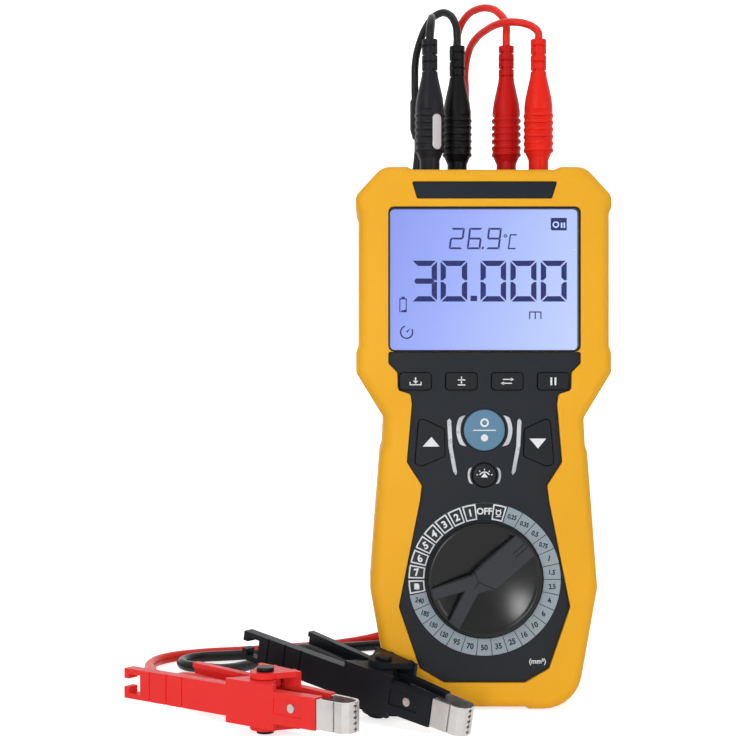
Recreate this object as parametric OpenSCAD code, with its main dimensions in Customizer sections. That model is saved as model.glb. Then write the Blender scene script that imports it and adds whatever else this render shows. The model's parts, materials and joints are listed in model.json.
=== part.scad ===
// Handheld cable length tester with two four-wire clip leads.
// The meter stands on its two lower bumpers, its face towards -Y, +Z up.
// Origin: on the standing surface, under the middle of the meter's own box.

/* [Case] */
// Height over the corner bumpers
body_h = 237.5; // [234:0.5:242]
// Width over the upper corner bumpers
head_w = 112.2; // [110:0.2:116]
// Width at the waist
waist_w = 87.6; // [86:0.2:90]
// Width at the widest place beside the selector
belly_w = 99.6; // [98:0.2:102]
// Depth from the face bumpers to the back
body_d = 53; // [52:0.5:56]
// Depth of the front half, up to the seam
front_d = 27; // [26:0.5:28]
// How far the upper corner bumpers stand proud
bumper = 1.2; // [0.8:0.1:1.6]
// Side wall thickness
wall = 2.6; // [2.4:0.1:3]
// Thickness of the front wall
face_t = 4.5; // [4.4:0.1:4.7]
// Thickness of the back wall
back_t = 2.8; // [2.4:0.1:3.2]
// Round-over of the front and back edges
edge_r = 5; // [4:0.5:5.5]
// Size of the slanted upper corners
corner_cut = 12.6; // [11:0.2:14]
// Round of the lower corners
foot_r = 17; // [14:0.5:18]

/* [Face] */
// How far the keypad panel lies behind the face bumpers
face_drop = 1.5; // [1.2:0.1:1.8]
// Thickness of the keypad panel
panel_t = 2; // [1.8:0.1:2.2]
// Display width
display_w = 82; // [80:0.5:82]
// Display height
display_h = 61.5; // [60:0.5:61.5]
// Thickness of the display window
window_t = 2.2; // [1.8:0.1:2.4]
// Width of a small key
key_w = 13.4; // [12:0.2:13.4]
// Height of a small key
key_h = 7.2; // [6.4:0.2:7.4]
// Radius of the large round key
round_key_r = 9; // [8:0.1:9.4]
// Radius of the small round key
light_key_r = 5.2; // [4.6:0.1:5.4]
// How far a key stands proud of the panel
key_proud = 0.7; // [0.4:0.1:1]
// Travel of a key
key_travel = 1; // [0.6:0.1:1]
// Name plate width at its upper edge
plate_w = 63.2; // [58:0.2:66]
// Name plate height
plate_h = 7.4; // [6:0.2:8]

/* [Selector] */
// Radius of the selector knob
knob_r = 24.8; // [23.8:0.1:25]
// How far the knob stands proud of the face bumpers
knob_proud = 5; // [4:0.5:6]
// Number of selector positions
stops = 30; // [24:1:36]
// Position the wide arm points to, clockwise from the top
pointed = 4; // [0:1:23]
// Radius of the selector shaft
shaft_r = 4; // [3.5:0.1:4.5]
// Width of the knob's wide arm
arm_w = 12; // [10:0.5:13]
// Width of the knob's two narrow arms
leg_w = 5.6; // [5:0.1:6.4]
// Width of the ring of position marks
ring_w = 7.4; // [6.6:0.1:7.6]

/* [Sockets and plugs] */
// Sideways distance between the outer sockets
outer_span = 48.6; // [47:0.2:50]
// Sideways distance between the inner sockets
inner_span = 22.4; // [21.6:0.2:24]
// Depth of the outer sockets behind the face bumpers
outer_d = 17; // [16.6:0.1:17.6]
// Depth of the inner sockets behind the face bumpers
inner_d = 30; // [29.6:0.1:31]
// Diameter of the plug's safety sleeve
sleeve_d = 8.9; // [8.7:0.05:9]
// Diameter of the plug's grip
grip_d = 12.6; // [11.6:0.1:12.8]
// Length of the plug outside the socket
plug_len = 59.6; // [58:0.1:61]
// How deep the plug goes into the socket
plug_in = 18; // [16:0.2:19]

/* [Stand and battery] */
// Width of the tilt stand
stand_w = 44; // [40:0.5:44]
// Length of the tilt stand below its hinge
stand_len = 118; // [112:1:118]
// Thickness of the tilt stand
stand_t = 3.6; // [3:0.1:3.8]
// Height of the stand's hinge
stand_z = 150; // [148:0.5:152]
// Diameter of a battery cell
cell_d = 14.2; // [13.8:0.1:14.3]
// Length of a battery cell
cell_len = 50; // [49.5:0.1:50.5]

/* [Clips] */
// Half of the clip handles' width
clip_w = 6.4; // [6.2:0.1:6.6]
// Distance of a handle's outer face from the middle, at its end
spread = 15.5; // [15:0.1:16]
// The same where the handles bend
hip = 9.5; // [9.2:0.1:9.8]
// The same at the front of the plastic
nose = 6.5; // [6.2:0.1:6.8]
// Thickness of the plastic handles
shell = 2.2; // [2:0.1:2.4]
// Radius of the pivot pin
pivot_r = 2; // [1.7:0.1:2.2]
// Thickness of the steel jaws
jaw_t = 1.2; // [1:0.1:1.4]
// Wire diameter of the closing spring
spring_wire = 0.9; // [0.8:0.1:1]

/* [Hidden] */

// Clearances: between seated pieces, round a moving piece, and radially in a running fit
seat = 0.1;
gap = 0.3;
fit = 0.05;

yellow = [0.93, 0.70, 0.18];
dark = [0.19, 0.21, 0.23];
red = [0.93, 0.24, 0.20];
black = [0.13, 0.13, 0.14];
steel = [0.80, 0.80, 0.82];
brass = [0.80, 0.66, 0.36];
green = [0.12, 0.36, 0.24];

// Depths are measured backwards from the plane of the face bumpers
front_y = -(body_d - knob_proud) / 2;
function deep(d) = front_y + d;
top_z = body_h - bumper;
// Heights on the face keep their shares of the body's height
rise = body_h / 237.5;

// ---------------------------------------------------------------- outline tools

function unit(v) = v / norm(v);

// Arc that rounds corner b between a and c
function corner(a, b, c, r, n) = r == 0 ? [b] :
    let (
        u = unit(a - b),
        w = unit(c - b),
        half = acos(max(-1, min(1, u * w))) / 2,
        centre = b + unit(u + w) * r / sin(half),
        start = b + u * r / tan(half) - centre,
        turn = (180 - 2 * half) * (cross(u, w) > 0 ? -1 : 1)
    )
    [for (i = [0 : n]) centre + [
        start[0] * cos(turn * i / n) - start[1] * sin(turn * i / n),
        start[0] * sin(turn * i / n) + start[1] * cos(turn * i / n)]];

// The clockwise corners [x, z, radius, steps] moved inwards by d, their radii following
function inset(p, d) = [for (i = [0 : len(p) - 1])
    let (
        a = p[(i + len(p) - 1) % len(p)],
        b = p[i],
        c = p[(i + 1) % len(p)],
        u = unit([b[0] - a[0], b[1] - a[1]]),
        w = unit([c[0] - b[0], c[1] - b[1]]),
        s = [u[1] + w[1], -u[0] - w[0]] * d / (1 + u * w),
        r = cross(u, w) < 0 ? max(b[2] - d, 0.2) : max(b[2] + d, 0.2)
    )
    [b[0] + s[0], b[1] + s[1], r, b[3]]];

// Closed outline from corners [x, z, radius, steps]
function rounded(p) = [for (i = [0 : len(p) - 1])
    let (
        a = p[(i + len(p) - 1) % len(p)],
        b = p[i],
        c = p[(i + 1) % len(p)]
    )
    each corner([a[0], a[1]], [b[0], b[1]], [c[0], c[1]], b[2], b[3])];

// Corners of a shape symmetric about x = 0 from its right half, top to bottom
function mirrored(half) = concat(half,
    [for (i = [len(half) - 1 : -1 : 0]) [-half[i][0], half[i][1], half[i][2], half[i][3]]]);

function turned_x(p) = [for (i = [len(p) - 1 : -1 : 0]) [-p[i][0], p[i][1], p[i][2], p[i][3]]];

function block(w, h, z, r) = mirrored([[w / 2, z + h / 2, r, 3], [w / 2, z - h / 2, r, 3]]);

function moved(p, x) = [for (q = p) [q[0] + x, q[1], q[2], q[3]]];

// A straight plate with outline p between two depths
module plate(p, d0, d1) {
    translate([0, deep(d1), 0])
        rotate([90, 0, 0])
            linear_extrude(d1 - d0)
                polygon(rounded(p));
}

// A skin through the stations [depth, inset] of outline p
module loft(p, stations, middle) {
    rings = [for (s = stations)
        let (soft = [for (c = inset(p, s[1])) [c[0], c[1], max(c[2], 0.8), c[3]]])
        [for (q = rounded(soft)) [q[0], deep(s[0]), q[1]]]];
    n = len(rings[0]);
    m = len(rings);
    centres = [for (s = [stations[0], stations[m - 1]]) [middle[0], deep(s[0]), middle[1]]];
    walls = [for (j = [0 : m - 2]) for (i = [0 : n - 1])
        let (
            a = j * n + i,
            b = j * n + (i + 1) % n
        )
        each [[a, b, b + n], [a, b + n, a + n]]];
    polyhedron(concat([for (r = rings) each r], centres), concat(
        [for (i = [0 : n - 1]) [(i + 1) % n, i, m * n]],
        walls,
        [for (i = [0 : n - 1]) [(m - 1) * n + i, (m - 1) * n + (i + 1) % n, m * n + 1]]));
}

module disc(x, z, r, d0, d1) {
    translate([x, deep(d1), z])
        rotate([90, 0, 0])
            cylinder(h = d1 - d0, r = r, $fn = 64);
}

module slab(x0, x1, z0, z1, d0, d1) {
    translate([x0, deep(d0), z0])
        cube([x1 - x0, d1 - d0, z1 - z0]);
}

module sides() {
    children();
    mirror([1, 0, 0])
        children();
}

// ---------------------------------------------------------------- case

head_x = head_w / 2;
side_x = head_x - bumper;
belly_x = belly_w / 2;
waist_x = waist_w / 2;
shoulder_z = 147.2 * rise;
waist_z = 127.4 * rise;
belly_z = 53 * rise;
step_z = 115.4 * rise;

case_corners = mirrored([
    [31.2, top_z, 1, 1],
    [31.2 + 2 * bumper, body_h, 1, 1],
    [head_x - corner_cut + 1, body_h, 8, 4],
    [head_x, body_h - corner_cut, 5, 3],
    [head_x, body_h - corner_cut - 5, 2, 2],
    [side_x, body_h - corner_cut - 8, 2, 2],
    [side_x, shoulder_z + 12, 2, 2],
    [side_x + 1, shoulder_z + 9, 2, 2],
    [side_x + 1, shoulder_z, 3, 3],
    [waist_x, waist_z, 4, 3],
    [waist_x + 0.6, step_z, 2, 1],
    [waist_x + 1.6, step_z - 3, 2, 1],
    [belly_x, belly_z, 7, 4],
    [belly_x - 9.4, 0, foot_r, 7],
    [19.8, 0, 0.6, 1],
    [18.2, 0.9, 0.6, 1]]);

// The rounded edge as [depth, inset], its first station just outside the flat face
edge_steps = [for (a = [90, 60, 30, 0]) [edge_r * (1 - sin(a)), edge_r * (1 - cos(a))]];
seam_groove = 0.4;

display_z = 188 * rise;
rim = 0.8;
frame_w = display_w + 2 * rim;
frame_h = display_h + 2 * rim;
frame_corners = block(frame_w, frame_h, display_z, 2.4);
window_corners = block(display_w, display_h, display_z, 1.8);
flange = 2.2;

panel_top = display_z - frame_h / 2 - 2 * seat;
keys_z = 143.5 * rise;
key_pitch = 20;
panel_corners = mirrored([
    [41.8, panel_top, 0.5, 1],
    [41.8, panel_top - 5, 1, 1],
    [37.9, keys_z + 3.9, 1, 1],
    [37.7, keys_z - 3.8, 1, 1],
    [32.2, keys_z - 5.6, 1, 1],
    [31.6, 133.5 * rise, 1, 1],
    [33.8, 108.3 * rise, 1, 1],
    [27.3, 98.2 * rise, 1, 1],
    [28.1, 91.5 * rise, 1, 1],
    [37.3, 45.3 * rise, 1, 1],
    [28.1, 18.5 * rise, 1, 1],
    [17.6, 12.4 * rise, 1, 1]]);
ledge = 1.4;
panel_d0 = face_drop;
panel_d1 = face_drop + panel_t;

name_z = display_z + display_h / 2 + 8;
name_corners = mirrored([
    [plate_w / 2, name_z + plate_h / 2, 0.6, 2],
    [plate_w / 2 - 2.3, name_z - plate_h / 2, 0.6, 2]]);
name_d0 = 0.8;
name_d1 = 2;

// Screw posts that join the halves: [x, z]
post_r = 4.4;
screw_r = 1.5;
head_r = 2.8;
screw_len = 12;
posts = [[40, body_h - 9.5], [26, 7.8]];
screw_seat_d = front_d + 7;

// The dark socket plate fills a cut in the top wall, across the seam
socket_shift = 1.2;
socket_r = 6.2;
plate_x = 33;
plate_d0 = outer_d - 8;
plate_d1 = inner_d + 8;

// Keys: [corners] in the face plane
small_keys = [for (i = [-1.5 : 1.5]) moved(block(key_w, key_h, keys_z, 1.2), i * key_pitch)];
side_key_z = 117 * rise;
up_corners = [
    [-28.5, side_key_z + 9.5, 1.2, 3],
    [-26.3, side_key_z + 9.7, 1.2, 3],
    [-17.6, side_key_z + 5.6, 1, 3],
    [-17.3, side_key_z - 6, 1, 3],
    [-27, side_key_z - 10.2, 1.2, 3],
    [-30.1, side_key_z - 9.4, 1.2, 3]];
round_key_z = 122.2 * rise;
light_key_z = 102.6 * rise;
key_d0 = panel_d0 - key_proud;
key_d1 = panel_d1 + seat;
key_d2 = key_d1 + 0.8;
mat_d = face_t + 3.5;
board_d = mat_d + 1.3;
board_t = 1.6;

dial_z = 57.2 * rise;
dial_r = 33.3;

module key_holes(grow, d0, d1) {
    for (k = small_keys)
        plate(inset(k, -grow), d0, d1);
    plate(inset(up_corners, -grow), d0, d1);
    plate(inset(turned_x(up_corners), -grow), d0, d1);
    disc(0, round_key_z, round_key_r + grow, d0, d1);
    disc(0, light_key_z, light_key_r + grow, d0, d1);
}

module post_holes(r, d0, d1) {
    for (p = posts)
        for (s = [-1, 1])
            disc(s * p[0], p[1], r, d0, d1);
}

module socket_cut() {
    slab(-plate_x - seat, plate_x + seat, top_z - wall - 3, body_h + 1,
        plate_d0 - seat, plate_d1 + seat);
}

module front_case() {
    color(yellow) difference() {
        loft(case_corners, concat(edge_steps, [[front_d - seam_groove, 0], [front_d, seam_groove]]),
            [0, waist_z]);
        difference() {
            plate(inset(case_corners, wall), face_t, front_d + 1);
            post_holes(post_r, face_t - 1, front_d + 2);
            for (p = [[48.5, display_z + 8], [38, 36]])
                sides()
                    disc(p[0], p[1], 2.4, face_t - 1, board_d);
        }
        plate(inset(panel_corners, -seat), -1, panel_d1);
        plate(inset(name_corners, -seat), -1, name_d1);
        plate(inset(frame_corners, -seat), -1, face_t + 1);
        intersection() {
            plate(inset(panel_corners, ledge), panel_d1 - 1, face_t + 1);
            slab(-50, 50, light_key_z - light_key_r - 0.9, keys_z + 9, 0, 10);
        }
        for (i = [-1.5 : 1.5])
            plate(moved(block(key_w + 2 * gap, key_h + 2.6, keys_z, 0.8), i * key_pitch), panel_d1 - 1,
                face_t + 1);
        disc(0, dial_z, shaft_r + fit, 0, face_t + 1);
        post_holes(screw_r, screw_seat_d - screw_len - 2, front_d + 1);
        socket_cut();
    }
}

// ---------------------------------------------------------------- back of the case

cover_w = 72;
cover_z0 = 14;
cover_z1 = 94;
cover_d = body_d - 6.4;
ledge_d = cover_d - 2.7;
pocket_w = 68.4;
pocket_z1 = 86;
stand_d = body_d - stand_t - 0.5;
hinge_r = 2.9;
hinge_d = body_d - hinge_r - gap;
hinge_pin_r = 1.5;
stand_half = stand_w / 2;
stand_z0 = stand_z - stand_len;
recess_x = stand_half + 0.4;
cover_screw = [29, 90];
cover_screw_d = body_d - 4;

module stand_recess() {
    slab(-recess_x, recess_x, stand_z0 - 0.4, stand_z + hinge_r + gap, stand_d, body_d + 1);
    slab(-recess_x, recess_x, stand_z - hinge_r - 0.6, stand_z + hinge_r + gap,
        hinge_d - hinge_r - gap, body_d + 1);
}

module rear_case() {
    color(yellow) difference() {
        loft(case_corners, concat([[front_d, seam_groove], [front_d + seam_groove, 0]],
            [for (i = [3 : -1 : 0]) [body_d - edge_steps[i][0], edge_steps[i][1]]]), [0, waist_z]);
        difference() {
            plate(inset(case_corners, wall), front_d - 1, body_d - back_t);
            post_holes(post_r, front_d - 2, body_d);
            slab(-39, 39, 5, 97, ledge_d, body_d);
            slab(-27, 27, 90, 158, hinge_d - hinge_r - gap - 2.4, body_d);
            sides()
                disc(cover_screw[0], cover_screw[1], 3.6, cover_screw_d - screw_len - 1.5, body_d);
        }
        slab(-cover_w / 2, cover_w / 2, cover_z0, cover_z1, cover_d, body_d + 1);
        slab(-pocket_w / 2, pocket_w / 2, cover_z0 + 2, pocket_z1, ledge_d - 1, cover_d + 1);
        stand_recess();
        translate([0, deep(hinge_d), stand_z])
            rotate([0, 90, 0])
                cylinder(h = 2 * stand_half + 9, r = hinge_pin_r + fit, center = true, $fn = 32);
        post_holes(screw_r + seat, front_d - 1, screw_seat_d + 1);
        post_holes(head_r + gap, screw_seat_d, body_d + 1);
        sides()
            disc(cover_screw[0], cover_screw[1], screw_r, cover_screw_d - screw_len - 0.5, cover_d + 1);
        socket_cut();
    }
}

module battery_cover() {
    color(dark) difference() {
        slab(-cover_w / 2 + seat, cover_w / 2 - seat, cover_z0 + seat, cover_z1 - seat,
            cover_d + seat, body_d);
        stand_recess();
        slab(-8, 8, stand_z0 - 6, stand_z0, stand_d - 0.7, body_d + 1);
        sides()
            slab(recess_x + 2.2, cover_w / 2 - 2.2, cover_z0 + 2.2, pocket_z1 - 1, cover_d,
                body_d - 2.2);
        sides()
            disc(cover_screw[0], cover_screw[1], head_r + gap, cover_screw_d, body_d + 1);
        sides()
            disc(cover_screw[0], cover_screw[1], screw_r + seat, cover_d, body_d);
    }
}

module screw(x, z, d) {
    difference() {
        union() {
            disc(x, z, screw_r - fit, d - screw_len, d + 1);
            disc(x, z, head_r, d, d + 2);
        }
        slab(x - 1.8, x + 1.8, z - 0.4, z + 0.4, d + 1, d + 3);
        slab(x - 0.4, x + 0.4, z - 1.8, z + 1.8, d + 1, d + 3);
    }
}

module case_screws() {
    color(steel)
        for (s = [-1, 1]) {
            for (p = posts)
                screw(s * p[0], p[1], screw_seat_d);
            screw(s * cover_screw[0], cover_screw[1], cover_screw_d);
        }
}

module tilt_stand() {
    color(dark) difference() {
        union() {
            slab(-stand_half, stand_half, stand_z0, stand_z - 1, body_d - stand_t, body_d);
            translate([0, deep(hinge_d), stand_z])
                rotate([0, 90, 0])
                    cylinder(h = stand_w, r = hinge_r, center = true, $fn = 48);
        }
        translate([0, deep(hinge_d), stand_z])
            rotate([0, 90, 0])
                cylinder(h = stand_w + 1, r = hinge_pin_r + fit, center = true, $fn = 32);
        for (i = [0 : 4])
            slab(-stand_half + 6, stand_half - 6, stand_z0 + 6 + 3 * i, stand_z0 + 7.4 + 3 * i,
                body_d - 0.8, body_d + 1);
        slab(-stand_half + 6, stand_half - 6, stand_z0 + 26, stand_z - 12, body_d - 1, body_d + 1);
    }
}

module stand_pin() {
    color(steel)
        translate([0, deep(hinge_d), stand_z])
            rotate([0, 90, 0])
                cylinder(h = 2 * stand_half + 8.4, r = hinge_pin_r, center = true, $fn = 32);
}

// ---------------------------------------------------------------- battery compartment

cell_pitch = cell_d + 0.8;
tray_d = ledge_d - 13.6;
tray_floor = 1.6;
cell_dep = tray_d + tray_floor + 0.2 + cell_d / 2;
cell_z0 = 54 - cell_len / 2;

module battery_tray() {
    color(black) difference() {
        slab(-36, 36, cell_z0 - 7, cell_z0 + cell_len + 7, tray_d, ledge_d - seat);
        slab(-2 * cell_pitch - 0.2, 2 * cell_pitch + 0.2, cell_z0 - 4, cell_z0 + cell_len + 4,
            tray_d + tray_floor, body_d);
    }
}

module batteries() {
    color([0.30, 0.32, 0.36])
        for (i = [0 : 3])
            translate([(i - 1.5) * cell_pitch, deep(cell_dep), cell_z0 + cell_len / 2])
                rotate([0, i % 2 == 0 ? 0 : 180, 0])
                    translate([0, 0, -cell_len / 2]) {
                        cylinder(h = cell_len - 1.2, r = cell_d / 2, $fn = 48);
                        translate([0, 0, cell_len - 1.6])
                            cylinder(h = 1.6, r = 2.7, $fn = 32);
                    }
}

module battery_contacts() {
    color(steel)
        for (i = [0 : 3])
            for (s = [-1, 1])
                translate([(i - 1.5) * cell_pitch, deep(cell_dep), cell_z0 + cell_len / 2])
                    rotate([0, s > 0 ? 0 : 180, 0])
                        translate([0, 0, cell_len / 2 + seat]) {
                            if ((i % 2 == 0) == (s > 0)) {
                                translate([-4, -4, 2.8])
                                    cube([8, 8, 0.9]);
                                cylinder(h = 3, r = 2.2, $fn = 32);
                            } else {
                                translate([-4, -4, 2.8])
                                    cube([8, 8, 0.9]);
                                cylinder(h = 3, r1 = 2.4, r2 = 3.8, $fn = 32);
                            }
                        }
}

// ---------------------------------------------------------------- face

module face_panel() {
    color(dark) difference() {
        plate(panel_corners, panel_d0, panel_d1);
        key_holes(gap, panel_d0 - 1, panel_d1 + 1);
        disc(0, dial_z, shaft_r + gap, 0, 10);
        difference() {
            disc(0, dial_z, dial_r + seat, 0, panel_d0 + 0.5);
            disc(0, dial_z, dial_r - ring_w - seat, -1, panel_d0 + 1);
        }
    }
}

module name_plate() {
    color([0.15, 0.22, 0.24])
        plate(name_corners, name_d0, name_d1 - seat);
}

module display_frame() {
    color(black) difference() {
        union() {
            plate(frame_corners, 0.8, face_t + 1.1);
            plate(inset(frame_corners, -flange), face_t + seat, face_t + 1.1);
        }
        plate(inset(window_corners, -seat), 0, face_t + 2);
    }
}

window_d0 = 1;
window_d1 = window_d0 + window_t;

module display_window() {
    color([0.75, 0.80, 1, 0.4])
        plate(window_corners, window_d0, window_d1);
}

module lcd_module() {
    color([0.66, 0.72, 0.98]) {
        plate(inset(window_corners, 0.2), window_d1 + seat, mat_d + 1);
        slab(-display_w / 2 - 0.5, display_w / 2 + 0.5, display_z - display_h / 2 - 0.25,
            display_z + display_h / 2 + 0.25, face_t + 1.4, mat_d + 1.2);
    }
}

module small_key(i) {
    color(dark) {
        plate(small_keys[i], key_d0, key_d1 + 0.2);
        plate(moved(block(key_w - 2.8, key_h + 1.8, keys_z, 0.8), (i - 1.5) * key_pitch), key_d1, key_d2);
    }
}

module memory_key() {
    small_key(0);
}

module calibrate_key() {
    small_key(1);
}

module units_key() {
    small_key(2);
}

module hold_key() {
    small_key(3);
}

module side_key(p) {
    color(dark) {
        plate(p, key_d0, key_d1 + 0.2);
        plate(inset(p, -0.7), key_d1, key_d2);
    }
}

module up_key() {
    side_key(up_corners);
}

module down_key() {
    side_key(turned_x(up_corners));
}

// A round key with a crowned top
module round_key(z, r, crown) {
    translate([0, deep(key_d2), z])
        rotate([90, 0, 0])
            rotate_extrude($fn = 64)
                polygon(concat(
                    [[0, 0], [r + 0.7, 0], [r + 0.7, key_d2 - key_d1], [r, key_d2 - key_d1]],
                    [for (a = [0 : 15 : 90])
                        [r - 0.8 + 0.8 * cos(a), key_d2 - key_d0 - 0.8 + 0.8 * sin(a)]],
                    [[r / 2, key_d2 - key_d0 + crown * 0.75], [0, key_d2 - key_d0 + crown]]));
}

module material_key() {
    color([0.44, 0.58, 0.68])
        round_key(round_key_z, round_key_r, 0.5);
}

module backlight_key() {
    color(dark)
        round_key(light_key_z, light_key_r, 0.3);
}

key_centres = concat(
    [for (i = [-1.5 : 1.5]) [i * key_pitch, keys_z]],
    [[-24, side_key_z], [24, side_key_z], [0, round_key_z], [0, light_key_z]]);

module keypad_mat() {
    color([0.75, 0.76, 0.78]) {
        slab(-37, 37, light_key_z - light_key_r - 1.9, keys_z + key_h / 2 + 1.8, mat_d, mat_d + 1.2);
        for (k = key_centres)
            disc(k[0], k[1], 2.4, key_d2 + key_travel + seat, mat_d + 0.2);
    }
}

module dial_ring() {
    color([0.59, 0.66, 0.70]) difference() {
        disc(0, dial_z, dial_r, panel_d0 - 0.1, panel_d0 + 0.4);
        disc(0, dial_z, dial_r - ring_w, -1, 4);
    }
}

// ---------------------------------------------------------------- selector

knob_back = panel_d0 - gap;
knob_h = knob_back + knob_proud;
arm_angle = 90 - pointed * 360 / stops;

// Heights inside the knob, counted from its back
rim_h = 3.4;
dish_h = 2.2;

module arm(angle, w, length) {
    rotate(angle)
        polygon([
            [-w / 2, -w / 2],
            [length - w * 0.12, -w / 2],
            [length, -w / 4],
            [length, w / 4],
            [length - w * 0.12, w / 2],
            [-w / 2, w / 2]]);
}

module selector_knob() {
    color(black)
        translate([0, deep(knob_back), dial_z])
            rotate([90, 0, 0])
                difference() {
                    union() {
                        rotate_extrude($fn = 96)
                            polygon(concat(
                                [[0, 0], [knob_r, 0]],
                                [for (a = [0 : 18 : 90])
                                    [knob_r - 1.2 + 1.2 * cos(a), rim_h - 1.2 + 1.2 * sin(a)]],
                                [[knob_r - 2.2, rim_h]],
                                [for (i = [0 : 6])
                                    let (q = (knob_r - 2.6) * (1 - i / 6))
                                    [q, dish_h + 0.9 * pow(q / knob_r, 2)]]));
                        linear_extrude(knob_h) intersection() {
                            circle(r = knob_r - 0.9, $fn = 96);
                            union() {
                                arm(arm_angle, arm_w, knob_r);
                                translate([-4, 0])
                                    arm(197, leg_w, knob_r);
                                translate([-3, 1])
                                    arm(242, leg_w + 0.4, knob_r);
                                circle(r = arm_w / 2, $fn = 48);
                            }
                        }
                    }
                    translate([0, 0, -1])
                        cylinder(h = knob_h - 2, r = shaft_r + fit, $fn = 48);
                    rotate(arm_angle)
                        for (s = [-1, 1])
                            translate([knob_r - 7, s * 1.1 - 0.35, knob_h - 0.5])
                                cube([8, 0.7, 1]);
                }
}

module selector_rotor() {
    color([0.85, 0.85, 0.82])
        translate([0, deep(board_d - 0.5), dial_z])
            rotate([90, 0, 0]) {
                cylinder(h = board_d - 0.5 - knob_back + knob_h - 3.4, r = shaft_r, $fn = 48);
                cylinder(h = board_d - 1 - face_t - gap, r = 16, $fn = 64);
            }
}

module main_board() {
    color(green) {
        intersection() {
            plate(inset(case_corners, wall + 2), board_d, board_d + board_t);
            slab(-60, 60, 14 * rise, 210 * rise, 0, 60);
        }
        slab(-14, 14, 118 * rise, 140 * rise, board_d + board_t, board_d + board_t + 2);
        slab(-34, -22, 150 * rise, 162 * rise, board_d + board_t, board_d + board_t + 1.4);
        slab(16, 32, 172 * rise, 184 * rise, board_d + board_t, board_d + board_t + 3);
    }
}

// ---------------------------------------------------------------- sockets and plugs

spots = [
    [socket_shift - outer_span / 2, outer_d],
    [socket_shift - inner_span / 2, inner_d],
    [socket_shift + inner_span / 2, inner_d],
    [socket_shift + outer_span / 2, outer_d]];
sleeve_r = sleeve_d / 2;
grip_r = grip_d / 2;
pin_r = 2;
well = plug_in + 1;

module at_spot(i) {
    translate([spots[i][0], deep(spots[i][1]), top_z])
        children();
}

module socket_plate() {
    color(black) difference() {
        slab(-plate_x, plate_x, top_z - wall, top_z, plate_d0, plate_d1);
        for (i = [0 : 3])
            at_spot(i)
                translate([0, 0, -10])
                    cylinder(h = 20, r = socket_r + seat, $fn = 64);
    }
}

module socket(i) {
    at_spot(i)
        translate([0, 0, -well - 2])
            difference() {
                cylinder(h = well + 2.5, r = socket_r, $fn = 64);
                translate([0, 0, 2])
                    cylinder(h = well + 2, r = sleeve_r + gap, $fn = 64);
                translate([0, 0, -1])
                    cylinder(h = 4, r = 2.3 + seat, $fn = 48);
            }
}

module black_sockets() {
    color(black) {
        socket(0);
        socket(1);
    }
}

module red_sockets() {
    color(red) {
        socket(2);
        socket(3);
    }
}

module socket_contacts() {
    color(brass)
        for (i = [0 : 3])
            at_spot(i)
                translate([0, 0, -well])
                    difference() {
                        union() {
                            cylinder(h = well - 3, r = 2.9, $fn = 48);
                            translate([0, 0, -3.5])
                                cylinder(h = 4, r = 2.3, $fn = 48);
                        }
                        translate([0, 0, 0.5])
                            cylinder(h = well, r = pin_r + fit, $fn = 48);
                    }
}

// Heights of the plug above the case top
collar_z = 5.8;
grip_z = 9.4;
ribs_z = 13;
barrel_z = 33.8;
taper_z = 45.3;
boot_r = 3.5;
boot_step = (plug_len - taper_z) / 4;

module plug(i, turn) {
    at_spot(i)
        rotate(turn)
            difference() {
                union() {
                    rotate_extrude($fn = 64)
                        polygon([
                            [0, 1],
                            [sleeve_r, 1],
                            [sleeve_r, collar_z],
                            [grip_r - 0.3, grip_z],
                            [grip_r, grip_z + 1.5],
                            [grip_r, barrel_z - 4],
                            [grip_r - 0.5, barrel_z],
                            [boot_r + 0.2, taper_z - 2],
                            [boot_r, taper_z],
                            [2.5, taper_z],
                            [2.5, plug_len],
                            [0, plug_len]]);
                    difference() {
                        translate([0, 0, -plug_in])
                            cylinder(h = plug_in + 2, r = sleeve_r, $fn = 64);
                        translate([0, 0, -plug_in - 1])
                            cylinder(h = plug_in + 1.5, r = 3.3, $fn = 48);
                    }
                    for (k = [0 : 3])
                        translate([0, 0, taper_z + k * boot_step + 0.9]) {
                            cylinder(h = boot_step - 0.9, r = boot_r, $fn = 48);
                            rotate(k * 90)
                                translate([-1.4, -boot_r + 0.2, -1])
                                    cube([2.8, 2 * boot_r - 0.4, 2]);
                        }
                }
                translate([0, 0, -plug_in - 1])
                    cylinder(h = plug_in + 21, r = pin_r + fit, $fn = 48);
                for (k = [0 : 4])
                    for (s = [0, 180])
                        rotate(s)
                            translate([-4.2, -grip_r - 1, ribs_z + 1 + k * 3.1])
                                cube([8.4, 1.9, 1.5]);
            }
}

module black_outer_plug() {
    color(black)
        plug(0, -12);
}

module black_inner_plug() {
    color(black)
        plug(1, 28);
}

module red_inner_plug() {
    color(red)
        plug(2, 90);
}

module red_outer_plug() {
    color(red)
        plug(3, 0);
}

module plug_pins() {
    color(steel)
        for (i = [0 : 3])
            at_spot(i)
                translate([0, 0, -plug_in + 0.5])
                    cylinder(h = plug_in + 18, r = pin_r, $fn = 48);
}

// ---------------------------------------------------------------- cords

lead_d = 3.5;
cable_d = 5.2;

function tangent(p, i) = unit(
    (i < len(p) - 1 ? unit(p[i + 1] - p[i]) : [0, 0, 0]) + (i > 0 ? unit(p[i] - p[i - 1]) : [0, 0, 0]));
function across(v, t) = unit(v - (v * t) * t);
function normals(p, i, v) = i == len(p) ? [] :
    let (n = across(v, tangent(p, i))) concat([n], normals(p, i + 1, n));

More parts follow.
